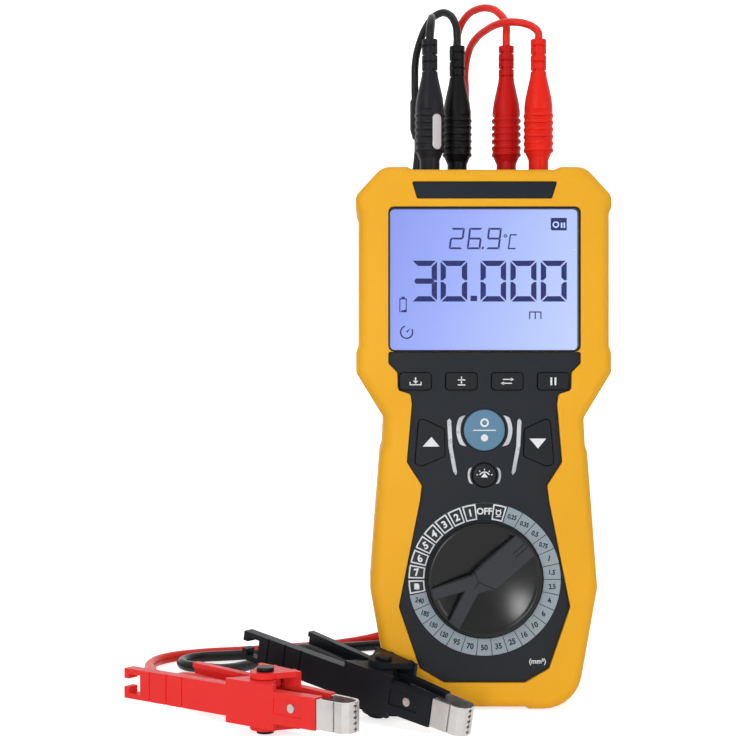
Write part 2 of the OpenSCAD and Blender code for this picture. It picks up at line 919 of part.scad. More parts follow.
// A round cord of diameter d along the points p, its ends square
module cord(p, d, sides) {
    side = normals(p, 0, abs(tangent(p, 0)[0]) < 0.7 ? [1, 0, 0] : [0, 1, 0]);
    points = [for (i = [0 : len(p) - 1])
        let (t = tangent(p, i), n = side[i], b = cross(t, n))
        for (k = [0 : sides - 1])
            p[i] + d / 2 * (cos(360 * k / sides) * n + sin(360 * k / sides) * b)];
    walls = [for (i = [0 : len(p) - 2]) for (k = [0 : sides - 1])
        let (
            a = i * sides + k,
            b = i * sides + (k + 1) % sides
        )
        each [[a, a + sides, b], [b, a + sides, b + sides]]];
    polyhedron(points, concat(
        [[for (k = [0 : sides - 1]) k]],
        walls,
        [[for (k = [sides - 1 : -1 : 0]) (len(p) - 1) * sides + k]]));
}

black_outer_route = [[-23.1, -7, 295.9], [-23.1, -7, 300], [-22.4, -4.5, 305], [-21.8, 1, 308],
    [-21.6, 9, 307.6], [-21.8, 18, 303], [-22.4, 26, 296], [-23.2, 33, 287.5], [-23.8, 36, 281],
    [-23.8, 36, 277.6]];
black_inner_route = [[-10, 6, 295.9], [-10, 6, 300], [-10.8, 7.5, 307], [-14.5, 12, 312.8],
    [-19, 17, 313.2], [-22.5, 22, 310.5], [-26, 29, 304], [-28, 34, 296], [-28.3, 36, 286],
    [-28.2, 36, 277.6]];
red_inner_route = [[12.4, 6, 295.9], [12.4, 6, 300], [12.3, 7.5, 307], [9.6, 11, 312.5],
    [5.9, 16, 316], [0.5, 23, 317.4], [-4.4, 31, 315.6], [-7.4, 37, 310], [-8.3, 40, 300],
    [-8.3, 40, 287], [-8.2, 40, 275.1]];
red_outer_route = [[25.5, -7, 295.9], [25.5, -7, 299], [23.6, -5.2, 302], [20.3, -3.6, 304],
    [16.3, -2.6, 305], [12, 0, 305.6], [8, 4, 305.6], [3.8, 12, 305], [-0.4, 21, 303],
    [-3, 30, 299], [-4.2, 37, 291], [-3.8, 40, 283], [-3.8, 40, 275.1]];

black_splitter_at = [-26, 36, 258.8];
red_splitter_at = [-6, 40, 256.3];
splitter_len = 18.7;

black_drop_route = [[-26, 36, 258.7], [-26, 36, 253], [-28.5, 36.6, 235], [-33, 37.4, 215],
    [-35.6, 38, 190], [-36, 38, 150], [-36, 38, 100], [-36, 38, 50], [-36, 38, 22], [-33, 38, 11],
    [-25, 38, 4.6], [-14, 38, 2.7], [-3.3, 38, 2.7]];
red_drop_route = [[-6, 40, 256.2], [-6, 40, 251], [-10, 39.6, 232], [-18, 39, 208], [-25, 38.4, 185],
    [-28, 38, 160], [-28, 38, 110], [-28, 38, 60], [-28, 38, 34], [-25, 38, 23], [-17, 38, 15.8],
    [-10, 38, 14.3], [-3.3, 38, 14.3]];

// Each coil: two layers, spiralling in and out again, climbing a layer as it turns back
coil_at = [2, 70];
coil_r = 32;
coil_turns = 2.5;
coil_pitch = 5.9;
coil_rings = 24;
coil_low = [2.7, 14.3];

function coil_point(s, z) =
    let (
        r = coil_r - coil_pitch * min(s, coil_turns - s),
        climb = min(1, max(0, (s - coil_turns / 2 + 0.25) * 2)),
        a = 360 * s - 90
    )
    [coil_at[0] + r * cos(a), coil_at[1] + r * sin(a), z + coil_pitch * climb];

function coil_route(z) = concat(
    [[coil_at[0] - cable_d, coil_at[1] - coil_r, z]],
    [for (i = [0 : coil_rings * coil_turns]) coil_point(i / coil_rings, z)],
    [[coil_at[0] - cable_d, coil_at[1] + coil_r, z + coil_pitch]]);

// Least gap of a tube of diameter d along p to itself, between points at least skip apart
function self_gap(p, d, skip) = min([for (i = [0 : len(p) - 1 - skip]) for (j = [i + skip : len(p) - 1])
    norm(p[j] - p[i])]) - d;

echo(coil_self_gap = self_gap(coil_route(coil_low[0]), cable_d, coil_rings / 2));

black_run_route = [[-3.3, 102, 8.6], [-8, 102, 8.6], [-16, 102.6, 7.1], [-30, 104.5, 4.2], [-48, 105, 2.7],
    [-66, 99, 2.7], [-90, 88, 2.7], [-124, 79, 2.7], [-136, 75.5, 2.7], [-143, 67, 2.7],
    [-141, 57, 2.7], [-133, 51.5, 2.7], [-120, 44, 3.6], [-105, 32.5, 8.5], [-92, 19.5, 14.5],
    [-85, 11, 19], [-79, 3.5, 21.5], [-70, -6, 20.3], [-58.6, -17.9, 17.56]];
red_run_route = [[-3.3, 102, 20.2], [-8, 102, 20.2], [-17, 104, 18], [-30, 110, 12], [-44, 116, 5.5],
    [-60, 113, 2.7], [-88, 99, 2.7], [-116, 90, 2.7], [-138, 83.5, 2.7], [-152, 74, 2.7],
    [-158, 60, 2.7], [-155, 42, 2.7], [-150, 24, 3], [-145, 8, 4.8], [-139.5, -4.5, 8],
    [-133.5, -13, 12], [-127.5, -20.5, 13.5], [-118.5, -29.5, 13.5], [-105.6, -42, 13.5]];

module black_outer_tail() {
    color(black)
        cord(black_outer_route, lead_d, 8);
}

module black_inner_tail() {
    color(black)
        cord(black_inner_route, lead_d, 8);
}

module red_inner_tail() {
    color(red)
        cord(red_inner_route, lead_d, 8);
}

module red_outer_tail() {
    color(red)
        cord(red_outer_route, lead_d, 8);
}

module splitter(at) {
    translate(at)
        rotate_extrude($fn = 48)
            polygon([
                [0, 0],
                [3.4, 0],
                [4.6, 4.5],
                [4.6, splitter_len - 1],
                [4.2, splitter_len],
                [0, splitter_len]]);
}

module black_splitter() {
    color(black)
        splitter(black_splitter_at);
}

module red_splitter() {
    color(red)
        splitter(red_splitter_at);
}

module black_drop() {
    color(black)
        cord(black_drop_route, cable_d, 10);
}

module red_drop() {
    color(red)
        cord(red_drop_route, cable_d, 10);
}

module black_coil() {
    color(black)
        cord(coil_route(coil_low[0]), cable_d, 6);
}

module red_coil() {
    color(red)
        cord(coil_route(coil_low[1]), cable_d, 6);
}

module black_run() {
    color(black)
        cord(black_run_route, cable_d, 10);
}

module red_run() {
    color(red)
        cord(red_run_route, cable_d, 10);
}

// ---------------------------------------------------------------- clips

// Clip coordinates: x from the pivot to the jaws, y to the fixed handle's side, z along the pin.
// Lengths l are counted from the end of the moving handle.
pivot_l = 68;
hip_l = 72;
nose_l = 100;
tip_l = 115.4;
fixed_l = 15;
pin_half = 13.4;
ear_r = 6.3;

// Each clip: [pivot, turn, tilt]
black_clip = [[-45.6, -35.5, 14], -40, 9.5];
red_clip = [[-92.8, -58.5, 13.5], -38.2, 0];

function outer_at(l) = l < hip_l ?
    spread - (spread - hip) * l / hip_l :
    hip - (hip - nose) * (l - hip_l) / (nose_l - hip_l);

module at_clip(c) {
    translate(c[0])
        rotate([0, c[2], c[1]])
            children();
}

// A prism over the points [l, distance from the middle plane]
module bar(p, z0, z1) {
    translate([-pivot_l, 0, z0])
        linear_extrude(z1 - z0)
            polygon(p);
}

module handle(l0, depth) {
    difference() {
        bar([[l0, outer_at(l0)], [hip_l, hip], [nose_l, nose], [nose_l, nose - depth],
            [hip_l, hip - depth], [l0, outer_at(l0) - depth]], -clip_w, clip_w);
        bar([[l0 - 1, outer_at(l0 - 1) - shell], [hip_l, hip - shell], [nose_l + 1, nose - shell],
            [nose_l + 1, -9], [l0 - 1, -9]], shell - clip_w, clip_w - shell);
        bar([[77, hip - 0.3 - shell / 2], [77, hip + 1], [94, hip + 1], [94, outer_at(94) - 0.6],
            [77, outer_at(77) - 0.6]], -2.6, 4);
        translate([88.3 - pivot_l, 0, 0.7])
            rotate([-90, 0, 0])
                cylinder(h = 20, r = 1.8 + fit, $fn = 32);
    }
}

// Two ears z0 to z1 from the middle, joined to the handle's outer plate
module ears(z0, z1, reach) {
    difference() {
        union() {
            for (s = [0, 1])
                mirror([0, 0, s]) {
                    translate([0, 0, z0])
                        cylinder(h = z1 - z0, r = ear_r, $fn = 48);
                    bar([[pivot_l - ear_r, 0], [pivot_l + ear_r, 0], [pivot_l + reach, outer_at(80)],
                        [hip_l, hip], [pivot_l - reach, outer_at(56)]], z0, z1);
                }
            bar([[pivot_l - reach, outer_at(56)], [hip_l, hip], [pivot_l + reach, outer_at(80)],
                [pivot_l + reach, outer_at(80) - shell + 0.3], [hip_l, hip - shell],
                [pivot_l - reach, outer_at(56) - shell]], -z1, z1);
        }
        translate([0, 0, -20])
            cylinder(h = 40, r = pivot_r + fit, $fn = 48);
    }
}

module moving_handle() {
    mirror([0, 1, 0])
        difference() {
            union() {
                handle(0, 5);
                ears(clip_w - 0.4, 9, 12);
                bar([[0, outer_at(0)], [2.6, outer_at(2.6)], [2.6, outer_at(2.6) - 5],
                    [0, outer_at(0) - 5]], -clip_w, clip_w);
                bar([[9, outer_at(9)], [11.2, outer_at(11.2)], [11.2, outer_at(11.2) - 5],
                    [9, outer_at(9) - 5]], -clip_w, clip_w);
            }
            translate([2.6 - pivot_l, 0, -4.1])
                cube([6.4, 20, 8.2]);
            translate([-1 - pivot_l, 0, -1.4])
                cube([5, 20, 3.5]);
            for (l = [14, 23.4, 32.1])
                bar([[l, outer_at(l) - 0.5], [l + 0.9, outer_at(l) - 0.5], [l + 0.9, 20], [l, 20]],
                    -clip_w - 1, clip_w + 1);
        }
}

module fixed_handle() {
    handle(fixed_l, 3.4);
    ears(9.3, 11.7, 12);
    for (l = [63.6, 75.3])
        translate([l - pivot_l, outer_at(l) - shell, 8.2])
            rotate([-90, 0, 0])
                cylinder(h = shell + 1, r = 3.5, $fn = 40);
    translate([-20, 2.4, -clip_w + shell - 0.2])
        cube([3.6, outer_at(46) - shell - 2, 2 * (clip_w - shell + 0.2)]);
}

// A jaw: a tongue under the plastic, a block beyond it and a toothed tip
module jaw() {
    difference() {
        union() {
            bar([[80, outer_at(80) - shell - seat], [nose_l, nose - shell - seat],
                [nose_l + 1.5, nose - shell - seat], [nose_l + 1.5, nose - shell - seat - jaw_t],
                [nose_l, nose - shell - seat - jaw_t], [80, outer_at(80) - shell - seat - jaw_t]], -4, 4);
            bar([[nose_l + 0.3, nose - 0.6], [108.5, nose - 1], [108.5, nose - 1.7], [109.3, nose - 1.7],
                [109.3, nose - 1], [112.5, nose - 1.5], [114.8, nose - 3.4], [tip_l, 0.15],
                [tip_l - 1.2, 0.15], [tip_l - 1.7, nose - 3.9], [112, nose - 2.7], [109, nose - 2.3],
                [nose_l + 1.5, nose - 2.1], [nose_l + 1.5, nose - shell - seat - jaw_t],
                [nose_l + 0.3, nose - shell - seat - jaw_t]], -5.9, 5.9);
            translate([88.3 - pivot_l, outer_at(88.3) - shell - 1, 0.7])
                rotate([-90, 0, 0])
                    cylinder(h = shell + 0.8, r = 1.8, $fn = 32);
        }
        for (i = [-2 : 2])
            translate([tip_l - pivot_l - 2, -1, i * 2.2 - 0.5])
                cube([3, 2, 1]);
    }
}

module pivot_pin() {
    cylinder(h = 2 * pin_half, r = pivot_r, center = true, $fn = 48);
    for (s = [0, 1])
        mirror([0, 0, s])
            translate([0, 0, 11.8])
                cylinder(h = pin_half - 11.8, r = 3.6, $fn = 48);
}

// Closing spring: four and a half curls round the pin, its ends bearing on the two handles
curls = 4.5;
curl_r = 4.1;
curl_rise = spring_wire + 0.5;
spring_route = concat(
    [[-13, -7.2, curls * curl_rise / 2], [-12.3, -6.9, curls * curl_rise / 2],
        [-6, -4.9, curls * curl_rise / 2]],
    [for (i = [0 : 8 * curls])
        [curl_r * cos(45 * i - 100), curl_r * sin(45 * i - 100),
            curls * curl_rise * (0.5 - i / (8 * curls))]],
    [[5, 5.2, -curls * curl_rise / 2], [11.3, 6, -curls * curl_rise / 2],
        [12, 6.1, -curls * curl_rise / 2]]);

echo(spring_self_gap = self_gap(spring_route, spring_wire, 4));

module clip_spring() {
    cord(spring_route, spring_wire, 6);
}

module black_fixed_handle() {
    color(black)
        at_clip(black_clip)
            fixed_handle();
}

module black_moving_handle() {
    color(black)
        at_clip(black_clip)
            moving_handle();
}

module black_fixed_jaw() {
    color(steel)
        at_clip(black_clip)
            jaw();
}

module black_moving_jaw() {
    color(steel)
        at_clip(black_clip)
            mirror([0, 1, 0])
                jaw();
}

module black_pivot_pin() {
    color(black)
        at_clip(black_clip)
            pivot_pin();
}

module black_clip_spring() {
    color(steel)
        at_clip(black_clip)
            clip_spring();
}

module red_fixed_handle() {
    color(red)
        at_clip(red_clip)
            fixed_handle();
}

module red_moving_handle() {
    color(red)
        at_clip(red_clip)
            moving_handle();
}

module red_fixed_jaw() {
    color(steel)
        at_clip(red_clip)
            jaw();
}

module red_moving_jaw() {
    color(steel)
        at_clip(red_clip)
            mirror([0, 1, 0])
                jaw();
}

module red_pivot_pin() {
    color(black)
        at_clip(red_clip)
            pivot_pin();
}

module red_clip_spring() {
    color(steel)
        at_clip(red_clip)
            clip_spring();
}

// ---------------------------------------------------------------- drawing

front_case();
rear_case();
face_panel();
name_plate();
display_frame();
display_window();
lcd_module();
memory_key();
calibrate_key();
units_key();
hold_key();
up_key();
down_key();
material_key();
backlight_key();
keypad_mat();
dial_ring();
selector_knob();
selector_rotor();
main_board();
battery_tray();
batteries();
battery_contacts();
battery_cover();
case_screws();
tilt_stand();
stand_pin();
socket_plate();
black_sockets();
red_sockets();
socket_contacts();
black_outer_plug();
black_inner_plug();
red_inner_plug();
red_outer_plug();
plug_pins();
black_outer_tail();
black_inner_tail();
red_inner_tail();
red_outer_tail();
black_splitter();
red_splitter();
black_drop();
black_coil();
black_run();
red_drop();
red_coil();
red_run();
black_fixed_handle();
black_moving_handle();
black_fixed_jaw();
black_moving_jaw();
black_pivot_pin();
black_clip_spring();
red_fixed_handle();
red_moving_handle();
red_fixed_jaw();
red_moving_jaw();
red_pivot_pin();
red_clip_spring();
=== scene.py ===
# Handheld cable length tester with clip test leads: the dressed model.
# Places are in millimetres on the CAD's axes unless a comment says metres, and MM turns
# them into metres. The face looks along -Y, and from there X runs to the right and Z up.
import json
import math
import bmesh
import bpy
from mathutils import Matrix, Vector

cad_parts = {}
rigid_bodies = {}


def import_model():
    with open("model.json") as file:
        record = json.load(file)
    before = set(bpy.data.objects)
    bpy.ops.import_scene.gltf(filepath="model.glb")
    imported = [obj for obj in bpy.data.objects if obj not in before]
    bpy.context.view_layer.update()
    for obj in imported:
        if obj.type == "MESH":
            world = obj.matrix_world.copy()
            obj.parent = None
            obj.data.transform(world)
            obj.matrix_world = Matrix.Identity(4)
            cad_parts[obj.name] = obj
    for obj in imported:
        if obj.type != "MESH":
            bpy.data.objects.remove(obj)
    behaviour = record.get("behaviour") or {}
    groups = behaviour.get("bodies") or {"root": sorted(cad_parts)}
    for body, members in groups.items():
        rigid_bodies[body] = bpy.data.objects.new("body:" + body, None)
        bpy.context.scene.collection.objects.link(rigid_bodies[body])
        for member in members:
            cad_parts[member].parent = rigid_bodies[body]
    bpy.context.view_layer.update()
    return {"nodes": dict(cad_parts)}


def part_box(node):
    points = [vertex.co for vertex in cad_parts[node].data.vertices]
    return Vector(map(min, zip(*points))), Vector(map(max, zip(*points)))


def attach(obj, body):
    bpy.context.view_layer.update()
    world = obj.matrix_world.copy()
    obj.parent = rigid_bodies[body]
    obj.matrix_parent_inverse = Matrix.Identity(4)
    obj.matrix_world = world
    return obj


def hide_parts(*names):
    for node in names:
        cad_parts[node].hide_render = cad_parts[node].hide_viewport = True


for o in list(bpy.data.objects):
    bpy.data.objects.remove(o)
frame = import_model()
nodes = frame["nodes"]
scene = bpy.context.scene
MM = 0.001

# ------------------------------------------------------------------ camera

CAMERA_AT = (-0.0507, -0.624, 0.1493)  # metres
LENS, SENSOR = 67.5, 36.0
NEAR, FAR = 0.01, 50.0  # metres

cam_data = bpy.data.cameras.new("camera")
cam_data.lens = LENS
cam_data.sensor_width = SENSOR
cam_data.clip_start = NEAR
cam_data.clip_end = FAR
cam = bpy.data.objects.new("camera", cam_data)
scene.collection.objects.link(cam)
cam.location = CAMERA_AT
cam.rotation_euler = (math.pi / 2, 0.0, 0.0)
scene.camera = cam

# ------------------------------------------------------------------ materials


def srgb(r, g, b):
    """A colour written as it looks on a screen, 0 to 255."""
    def lin(c):
        c /= 255.0
        return c / 12.92 if c <= 0.04045 else ((c + 0.055) / 1.055) ** 2.4
    return (lin(r), lin(g), lin(b), 1.0)


class Mat:
    """A node material whose grain is measured in metres of the object."""

    def __init__(self, name):
        self.m = bpy.data.materials.new(name)
        self.m.use_nodes = True
        self.t = self.m.node_tree
        self.p = self.t.nodes["Principled BSDF"]
        self.coord = self.t.nodes.new("ShaderNodeTexCoord").outputs["Object"]

    def noise(self, scale, detail=2.0, rough=0.5, stretch=None):
        """Noise with scale features to the metre, packed closer along an axis by stretch."""
        src = self.coord
        if stretch:
            mp = self.t.nodes.new("ShaderNodeMapping")
            mp.inputs["Scale"].default_value = stretch
            self.t.links.new(src, mp.inputs["Vector"])
            src = mp.outputs["Vector"]
        n = self.t.nodes.new("ShaderNodeTexNoise")
        n.inputs["Scale"].default_value = scale
        n.inputs["Detail"].default_value = detail
        n.inputs["Roughness"].default_value = rough
        self.t.links.new(src, n.inputs["Vector"])
        return n.outputs["Fac"]

    def ramp(self, fac, stops):
        r = self.t.nodes.new("ShaderNodeValToRGB")
        e = r.color_ramp.elements
        while len(e) < len(stops):
            e.new(0.5)
        for el, (pos, col) in zip(e, stops):
            el.position = pos
            el.color = col if len(col) == 4 else (*col, 1.0)
        self.t.links.new(fac, r.inputs["Fac"])
        return r.outputs["Color"]

    def spread(self, fac, lo, hi):
        """Noise brought to the range from lo to hi."""
        r = self.t.nodes.new("ShaderNodeMapRange")
        r.inputs["From Min"].default_value = 0.3
        r.inputs["From Max"].default_value = 0.7
        r.inputs["To Min"].default_value = lo
        r.inputs["To Max"].default_value = hi
        self.t.links.new(fac, r.inputs["Value"])
        return r.outputs["Result"]

    def bump(self, height, strength, distance, under=None):
        b = self.t.nodes.new("ShaderNodeBump")
        b.inputs["Strength"].default_value = strength
        b.inputs["Distance"].default_value = distance
        self.t.links.new(height, b.inputs["Height"])
        if under is not None:
            self.t.links.new(under, b.inputs["Normal"])
        return b.outputs["Normal"]

    def link(self, out, name):
        self.t.links.new(out, self.p.inputs[name])

    def set(self, **kw):
        for k, v in kw.items():
            self.p.inputs[k.replace("_", " ")].default_value = v


def shade(col, k):
    return (min(1.0, col[0] * k), min(1.0, col[1] * k), min(1.0, col[2] * k), 1.0)


def plastic(name, col, rough=0.45, grain=900.0, depth=0.00004, vary=0.05, strength=0.35,
            coat=0.0, wear=0.06, spec=0.12):
    """Moulded plastic: spark-eroded grain, slow colour drift, patches rubbed smoother.

    grain is features to the metre, depth its height in metres, vary the colour's drift,
    strength the grain's, and wear how far the roughness strays.
    """
    m = Mat(name)
    slow = m.noise(18.0, 3.0)
    m.link(m.ramp(slow, [(0.3, shade(col, 1 - vary)), (0.7, shade(col, 1 + vary))]), "Base Color")
    m.link(m.spread(m.noise(60.0, 4.0, 0.6), rough - wear, rough + wear), "Roughness")
    if depth > 0:
        fine = m.bump(m.noise(grain, 2.0, 0.6), strength, depth)
        m.link(m.bump(m.noise(130.0, 2.0), 0.25, 0.00006, fine), "Normal")
    m.set(Specular_IOR_Level=spec)
    if coat:
        m.set(Coat_Weight=coat, Coat_Roughness=0.12)
    return m.m


def rubber(name, col, rough=0.42, sheen=0.15):
    """Soft moulded rubber or a cord's jacket, with a faint bloom."""
    m = Mat(name)
    drift = [(0.3, shade(col, 0.92)), (0.7, shade(col, 1.08))]
    m.link(m.ramp(m.noise(45.0, 3.0), drift), "Base Color")
    m.link(m.spread(m.noise(160.0, 3.0), rough - 0.08, rough + 0.08), "Roughness")
    m.link(m.bump(m.noise(700.0, 2.0), 0.25, 0.00003), "Normal")
    m.set(Sheen_Weight=sheen, Sheen_Roughness=0.4, Specular_IOR_Level=0.2)
    return m.m


def metal(name, col, rough, brush=(1.0, 1.0, 14.0), scratch=0.3):
    """Drawn or stamped metal: fine lines across the axis along which brush packs them."""
    m = Mat(name)
    lines = m.noise(420.0, 4.0, 0.6, brush)
    drift = [(0.35, shade(col, 0.82)), (0.65, shade(col, 1.0))]
    m.link(m.ramp(m.noise(80.0, 3.0), drift), "Base Color")
    m.link(m.spread(lines, rough - 0.08, rough + 0.12), "Roughness")
    m.link(m.bump(lines, scratch, 0.00003), "Normal")
    m.set(Metallic=1.0)
    return m.m


def paint(name, col, rough=0.5, glow=0.0):
    """A thin printed film: ink of slightly uneven thickness."""
    m = Mat(name)
    drift = [(0.3, shade(col, 0.93)), (0.7, shade(col, 1.03))]
    m.link(m.ramp(m.noise(500.0, 2.0), drift), "Base Color")
    m.link(m.spread(m.noise(300.0, 2.0), rough - 0.05, rough + 0.05), "Roughness")
    m.set(Specular_IOR_Level=0.08)
    if glow:
        m.set(Emission_Color=col, Emission_Strength=glow)
    return m.m


YELLOW = plastic("yellow_grip", srgb(244, 177, 34), 0.52, 1100.0, 0.00005, 0.035, 0.4, spec=0.2)
DARK = plastic("panel_grey", srgb(38, 41, 46), 0.50, 1300.0, 0.00004, 0.05, 0.3)
KEYDARK = plastic("key_grey", srgb(33, 36, 41), 0.42, 1300.0, 0.00003, 0.05, 0.25)
PLATE = plastic("plate_blue_grey", srgb(32, 40, 46), 0.38, 900.0, 0.00002, 0.05, 0.2)
BLACK = plastic("clip_black", srgb(24, 27, 32), 0.40, 800.0, 0.00005, 0.08, 0.35)
PLUGBLACK = plastic("plug_black", srgb(31, 31, 36), 0.36, 700.0, 0.00003, 0.08, 0.3)
# darker copy of the plug black for the inner black plug: painted shade from its neighbour
PLUGBLACK_SHADE = plastic("plug_black_painted_shade", srgb(15, 14, 15), 0.36, 700.0, 0.00003, 0.08, 0.3)
REDPL = plastic("clip_red", srgb(243, 56, 54), 0.36, 800.0, 0.00004, 0.05, 0.3)
PLUGRED = plastic("plug_red", srgb(240, 40, 26), 0.34, 700.0, 0.00003, 0.05, 0.3)
# darker copy of the plug red for the inner red plug: painted shade from its neighbour
PLUGRED_SHADE = plastic("plug_red_painted_shade", srgb(203, 26, 22), 0.36, 700.0, 0.00003, 0.05, 0.3)
BLUE = plastic("key_blue", srgb(100, 139, 167), 0.40, 900.0, 0.00003, 0.04, 0.25)
SEALRUB = rubber("keypad_rubber", srgb(176, 178, 182), 0.6)
RING = plastic("ring_gloss", srgb(158, 178, 188), 0.16, 1500.0, 0.0, 0.02, 0.1, 0.6, 0.04)
KNOB = plastic("knob_gloss", srgb(17, 18, 20), 0.20, 1500.0, 0.00001, 0.05, 0.15, 0.0, 0.04, 0.26)
KNOBTOP = plastic("knob_arm", srgb(60, 62, 66), 0.48, 1200.0, 0.00003, 0.05, 0.3)
WHITEPL = plastic("rotor_white", srgb(222, 222, 216), 0.5)
BOARD = plastic("board_green", srgb(28, 92, 58), 0.35, 300.0, 0.00006, 0.15, 0.3)
CELL = plastic("cell_sleeve", srgb(60, 62, 68), 0.25, 500.0, 0.00001, 0.1, 0.1, 0.4)
BRASS = metal("contact_brass", srgb(214, 176, 96), 0.3)
STEEL = metal("bright_steel", srgb(214, 214, 218), 0.26)
JAWST = metal("jaw_steel", srgb(190, 188, 186), 0.34, (1.0, 1.0, 5.0), 0.5)
SPRING = metal("spring_steel", srgb(196, 196, 200), 0.22)
WIREBLK = rubber("lead_black", srgb(22, 22, 25), 0.34, 0.05)
WIRERED = rubber("lead_red", srgb(238, 44, 32), 0.34, 0.05)
SPLITB = rubber("splitter_black", srgb(22, 22, 25), 0.45, 0.05)
SPLITR = rubber("splitter_red", srgb(222, 44, 34), 0.42)
INKWHITE = paint("ink_white", srgb(236, 238, 240), 0.45)
INKDARK = paint("ink_dark", srgb(40, 52, 62), 0.5)
# light grey of the highlight painted on the outer black plug's grip
PLUG_HIGHLIGHT = plastic("plug_highlight_paint", srgb(206, 203, 206), 0.4, 900.0, 0.00001)

# ------------------------------------------------------------------ helpers


def mesh_of(bm, name):
    """The finished mesh of a bmesh, its faces turned outwards."""
    bmesh.ops.recalc_face_normals(bm, faces=bm.faces)
    me = bpy.data.meshes.new(name)
    bm.to_mesh(me)
    bm.free()
    return me


def lathe(bm, rows):
    """Faces between neighbouring closed rows of points."""
    for a, b in zip(rows, rows[1:]):
        for i in range(len(a)):
            j = (i + 1) % len(a)
            bm.faces.new((a[i], a[j], b[j], b[i]))


def add(name, data, material, body, smooth):
    """Links a new mesh piece, gives it its material and lets it ride on a CAD body.

    Edges sharper than smooth degrees stay sharp.
    """
    o = bpy.data.objects.new(name, data)
    scene.collection.objects.link(o)
    data.materials.append(material)
    data.polygons.foreach_set("use_smooth", [True] * len(data.polygons))
    data.set_sharp_from_angle(angle=math.radians(smooth))
    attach(o, body)
    return o


def cord_curve(name, route, diameter, material):
    """A round cord: one open spline through the route's points, in millimetres."""
    c = bpy.data.curves.new(name, "CURVE")
    c.dimensions = "3D"
    c.bevel_depth = diameter / 2 * MM
    c.bevel_resolution = 5
    c.resolution_u = 5
    c.use_fill_caps = True
    s = c.splines.new("BEZIER")
    s.bezier_points.add(len(route) - 1)
    for b, p in zip(s.bezier_points, route):
        b.co = (p[0] * MM, p[1] * MM, p[2] * MM)
        b.handle_left_type = b.handle_right_type = "AUTO"
    s.use_smooth = True
    o = bpy.data.objects.new(name, c)
    scene.collection.objects.link(o)
    c.materials.append(material)
    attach(o, "meter")
    return o


# ------------------------------------------------------------------ cords

LEAD_D = 3.5
CABLE_D = 5.2
# Short leads from the plugs over into the splitters behind the meter
tails = {
    "black_outer": [(-23.1, -7, 295.9), (-23.1, -7, 300), (-22.4, -4.5, 305), (-21.8, 1, 308),
        (-21.6, 9, 307.6), (-21.8, 18, 303), (-22.4, 26, 296), (-23.2, 33, 287.5), (-23.8, 36, 281),
        (-23.8, 36, 277.6)],
    "black_inner": [(-10, 6, 295.9), (-10, 6, 300), (-10.8, 7.5, 307), (-14.5, 12, 312.8),
        (-19, 17, 313.2), (-22.5, 22, 310.5), (-26, 29, 304), (-28, 34, 296), (-28.3, 36, 286),
        (-28.2, 36, 277.6)],
    "red_inner": [(12.4, 6, 295.9), (12.4, 6, 300), (12.3, 7.5, 307), (9.6, 11, 312.5),
        (5.9, 16, 316), (0.5, 23, 317.4), (-4.4, 31, 315.6), (-7.4, 37, 310), (-8.3, 40, 300),
        (-8.3, 40, 287), (-8.2, 40, 275.1)],
    "red_outer": [(25.5, -7, 295.9), (25.5, -7, 299), (23.6, -5.2, 302), (20.3, -3.6, 304),
        (16.3, -2.6, 305), (12, 0, 305.6), (8, 4, 305.6), (3.8, 12, 305), (-0.4, 21, 303),
        (-3, 30, 299), (-4.2, 37, 291), (-3.8, 40, 283), (-3.8, 40, 275.1)],
}
# Cables from the splitters down to the floor behind the meter
drops = {
    "black": [(-26, 36, 258.7), (-26, 36, 253), (-28.5, 36.6, 235), (-33, 37.4, 215),
        (-35.6, 38, 190), (-36, 38, 150), (-36, 38, 100), (-36, 38, 50), (-36, 38, 22),
        (-33, 38, 11), (-25, 38, 4.6), (-14, 38, 2.7)],
    "red": [(-6, 40, 256.2), (-6, 40, 251), (-10, 39.6, 232), (-18, 39, 208), (-25, 38.4, 185),
        (-28, 38, 160), (-28, 38, 110), (-28, 38, 60), (-28, 38, 34), (-25, 38, 23),
        (-17, 38, 15.8), (-10, 38, 14.3)],
}
# Cables from the coils along the floor and into the clips
runs = {
    "black": [(-8, 102, 8.6), (-16, 102.6, 7.1), (-30, 104.5, 4.2), (-48, 105, 2.7),
        (-66, 99, 2.7), (-90, 88, 2.7), (-124, 79, 2.7), (-136, 75.5, 2.7), (-143, 67, 2.7),
        (-141, 57, 2.7), (-133, 51.5, 2.7), (-120, 44, 3.6), (-105, 32.5, 8.5),
        (-92, 19.5, 14.5), (-85, 11, 19), (-79, 3.5, 21.5), (-70, -6, 20.3),
        (-58.6, -17.9, 17.56)],
    "red": [(-8, 102, 20.2), (-17, 104, 18), (-30, 110, 12), (-44, 116, 5.5),
        (-60, 113, 2.7), (-88, 99, 2.7), (-116, 90, 2.7), (-138, 83.5, 2.7), (-152, 74, 2.7),
        (-158, 60, 2.7), (-155, 42, 2.7), (-150, 24, 3), (-145, 8, 4.8), (-139.5, -4.5, 8),
        (-133.5, -13, 12), (-127.5, -20.5, 13.5), (-118.5, -29.5, 13.5), (-105.6, -42, 13.5)],
}


TURNS, STEPS = 2.5, 24  # turns of a coil and points to a turn
COIL_X, COIL_Y, COIL_R = 2, 70, 32  # the coils' middle and the outer turn's radius
PITCH = 5.9  # between neighbouring turns and between layers
COIL_Z = {"black": 2.7, "red": 14.3}  # middle of each coil's lowest turn


def coil_route(z):
    """Turns that wind inwards, climb a layer and wind out again."""
    out = []
    for i in range(int(TURNS * STEPS) + 1):
        s = i / STEPS
        r = COIL_R - PITCH * min(s, TURNS - s)
        climb = min(1.0, max(0.0, (s - TURNS / 2 + 0.25) * 2))
        a = math.radians(360 * s - 90)
        out.append((COIL_X + r * math.cos(a), COIL_Y + r * math.sin(a), z + PITCH * climb))
    return out


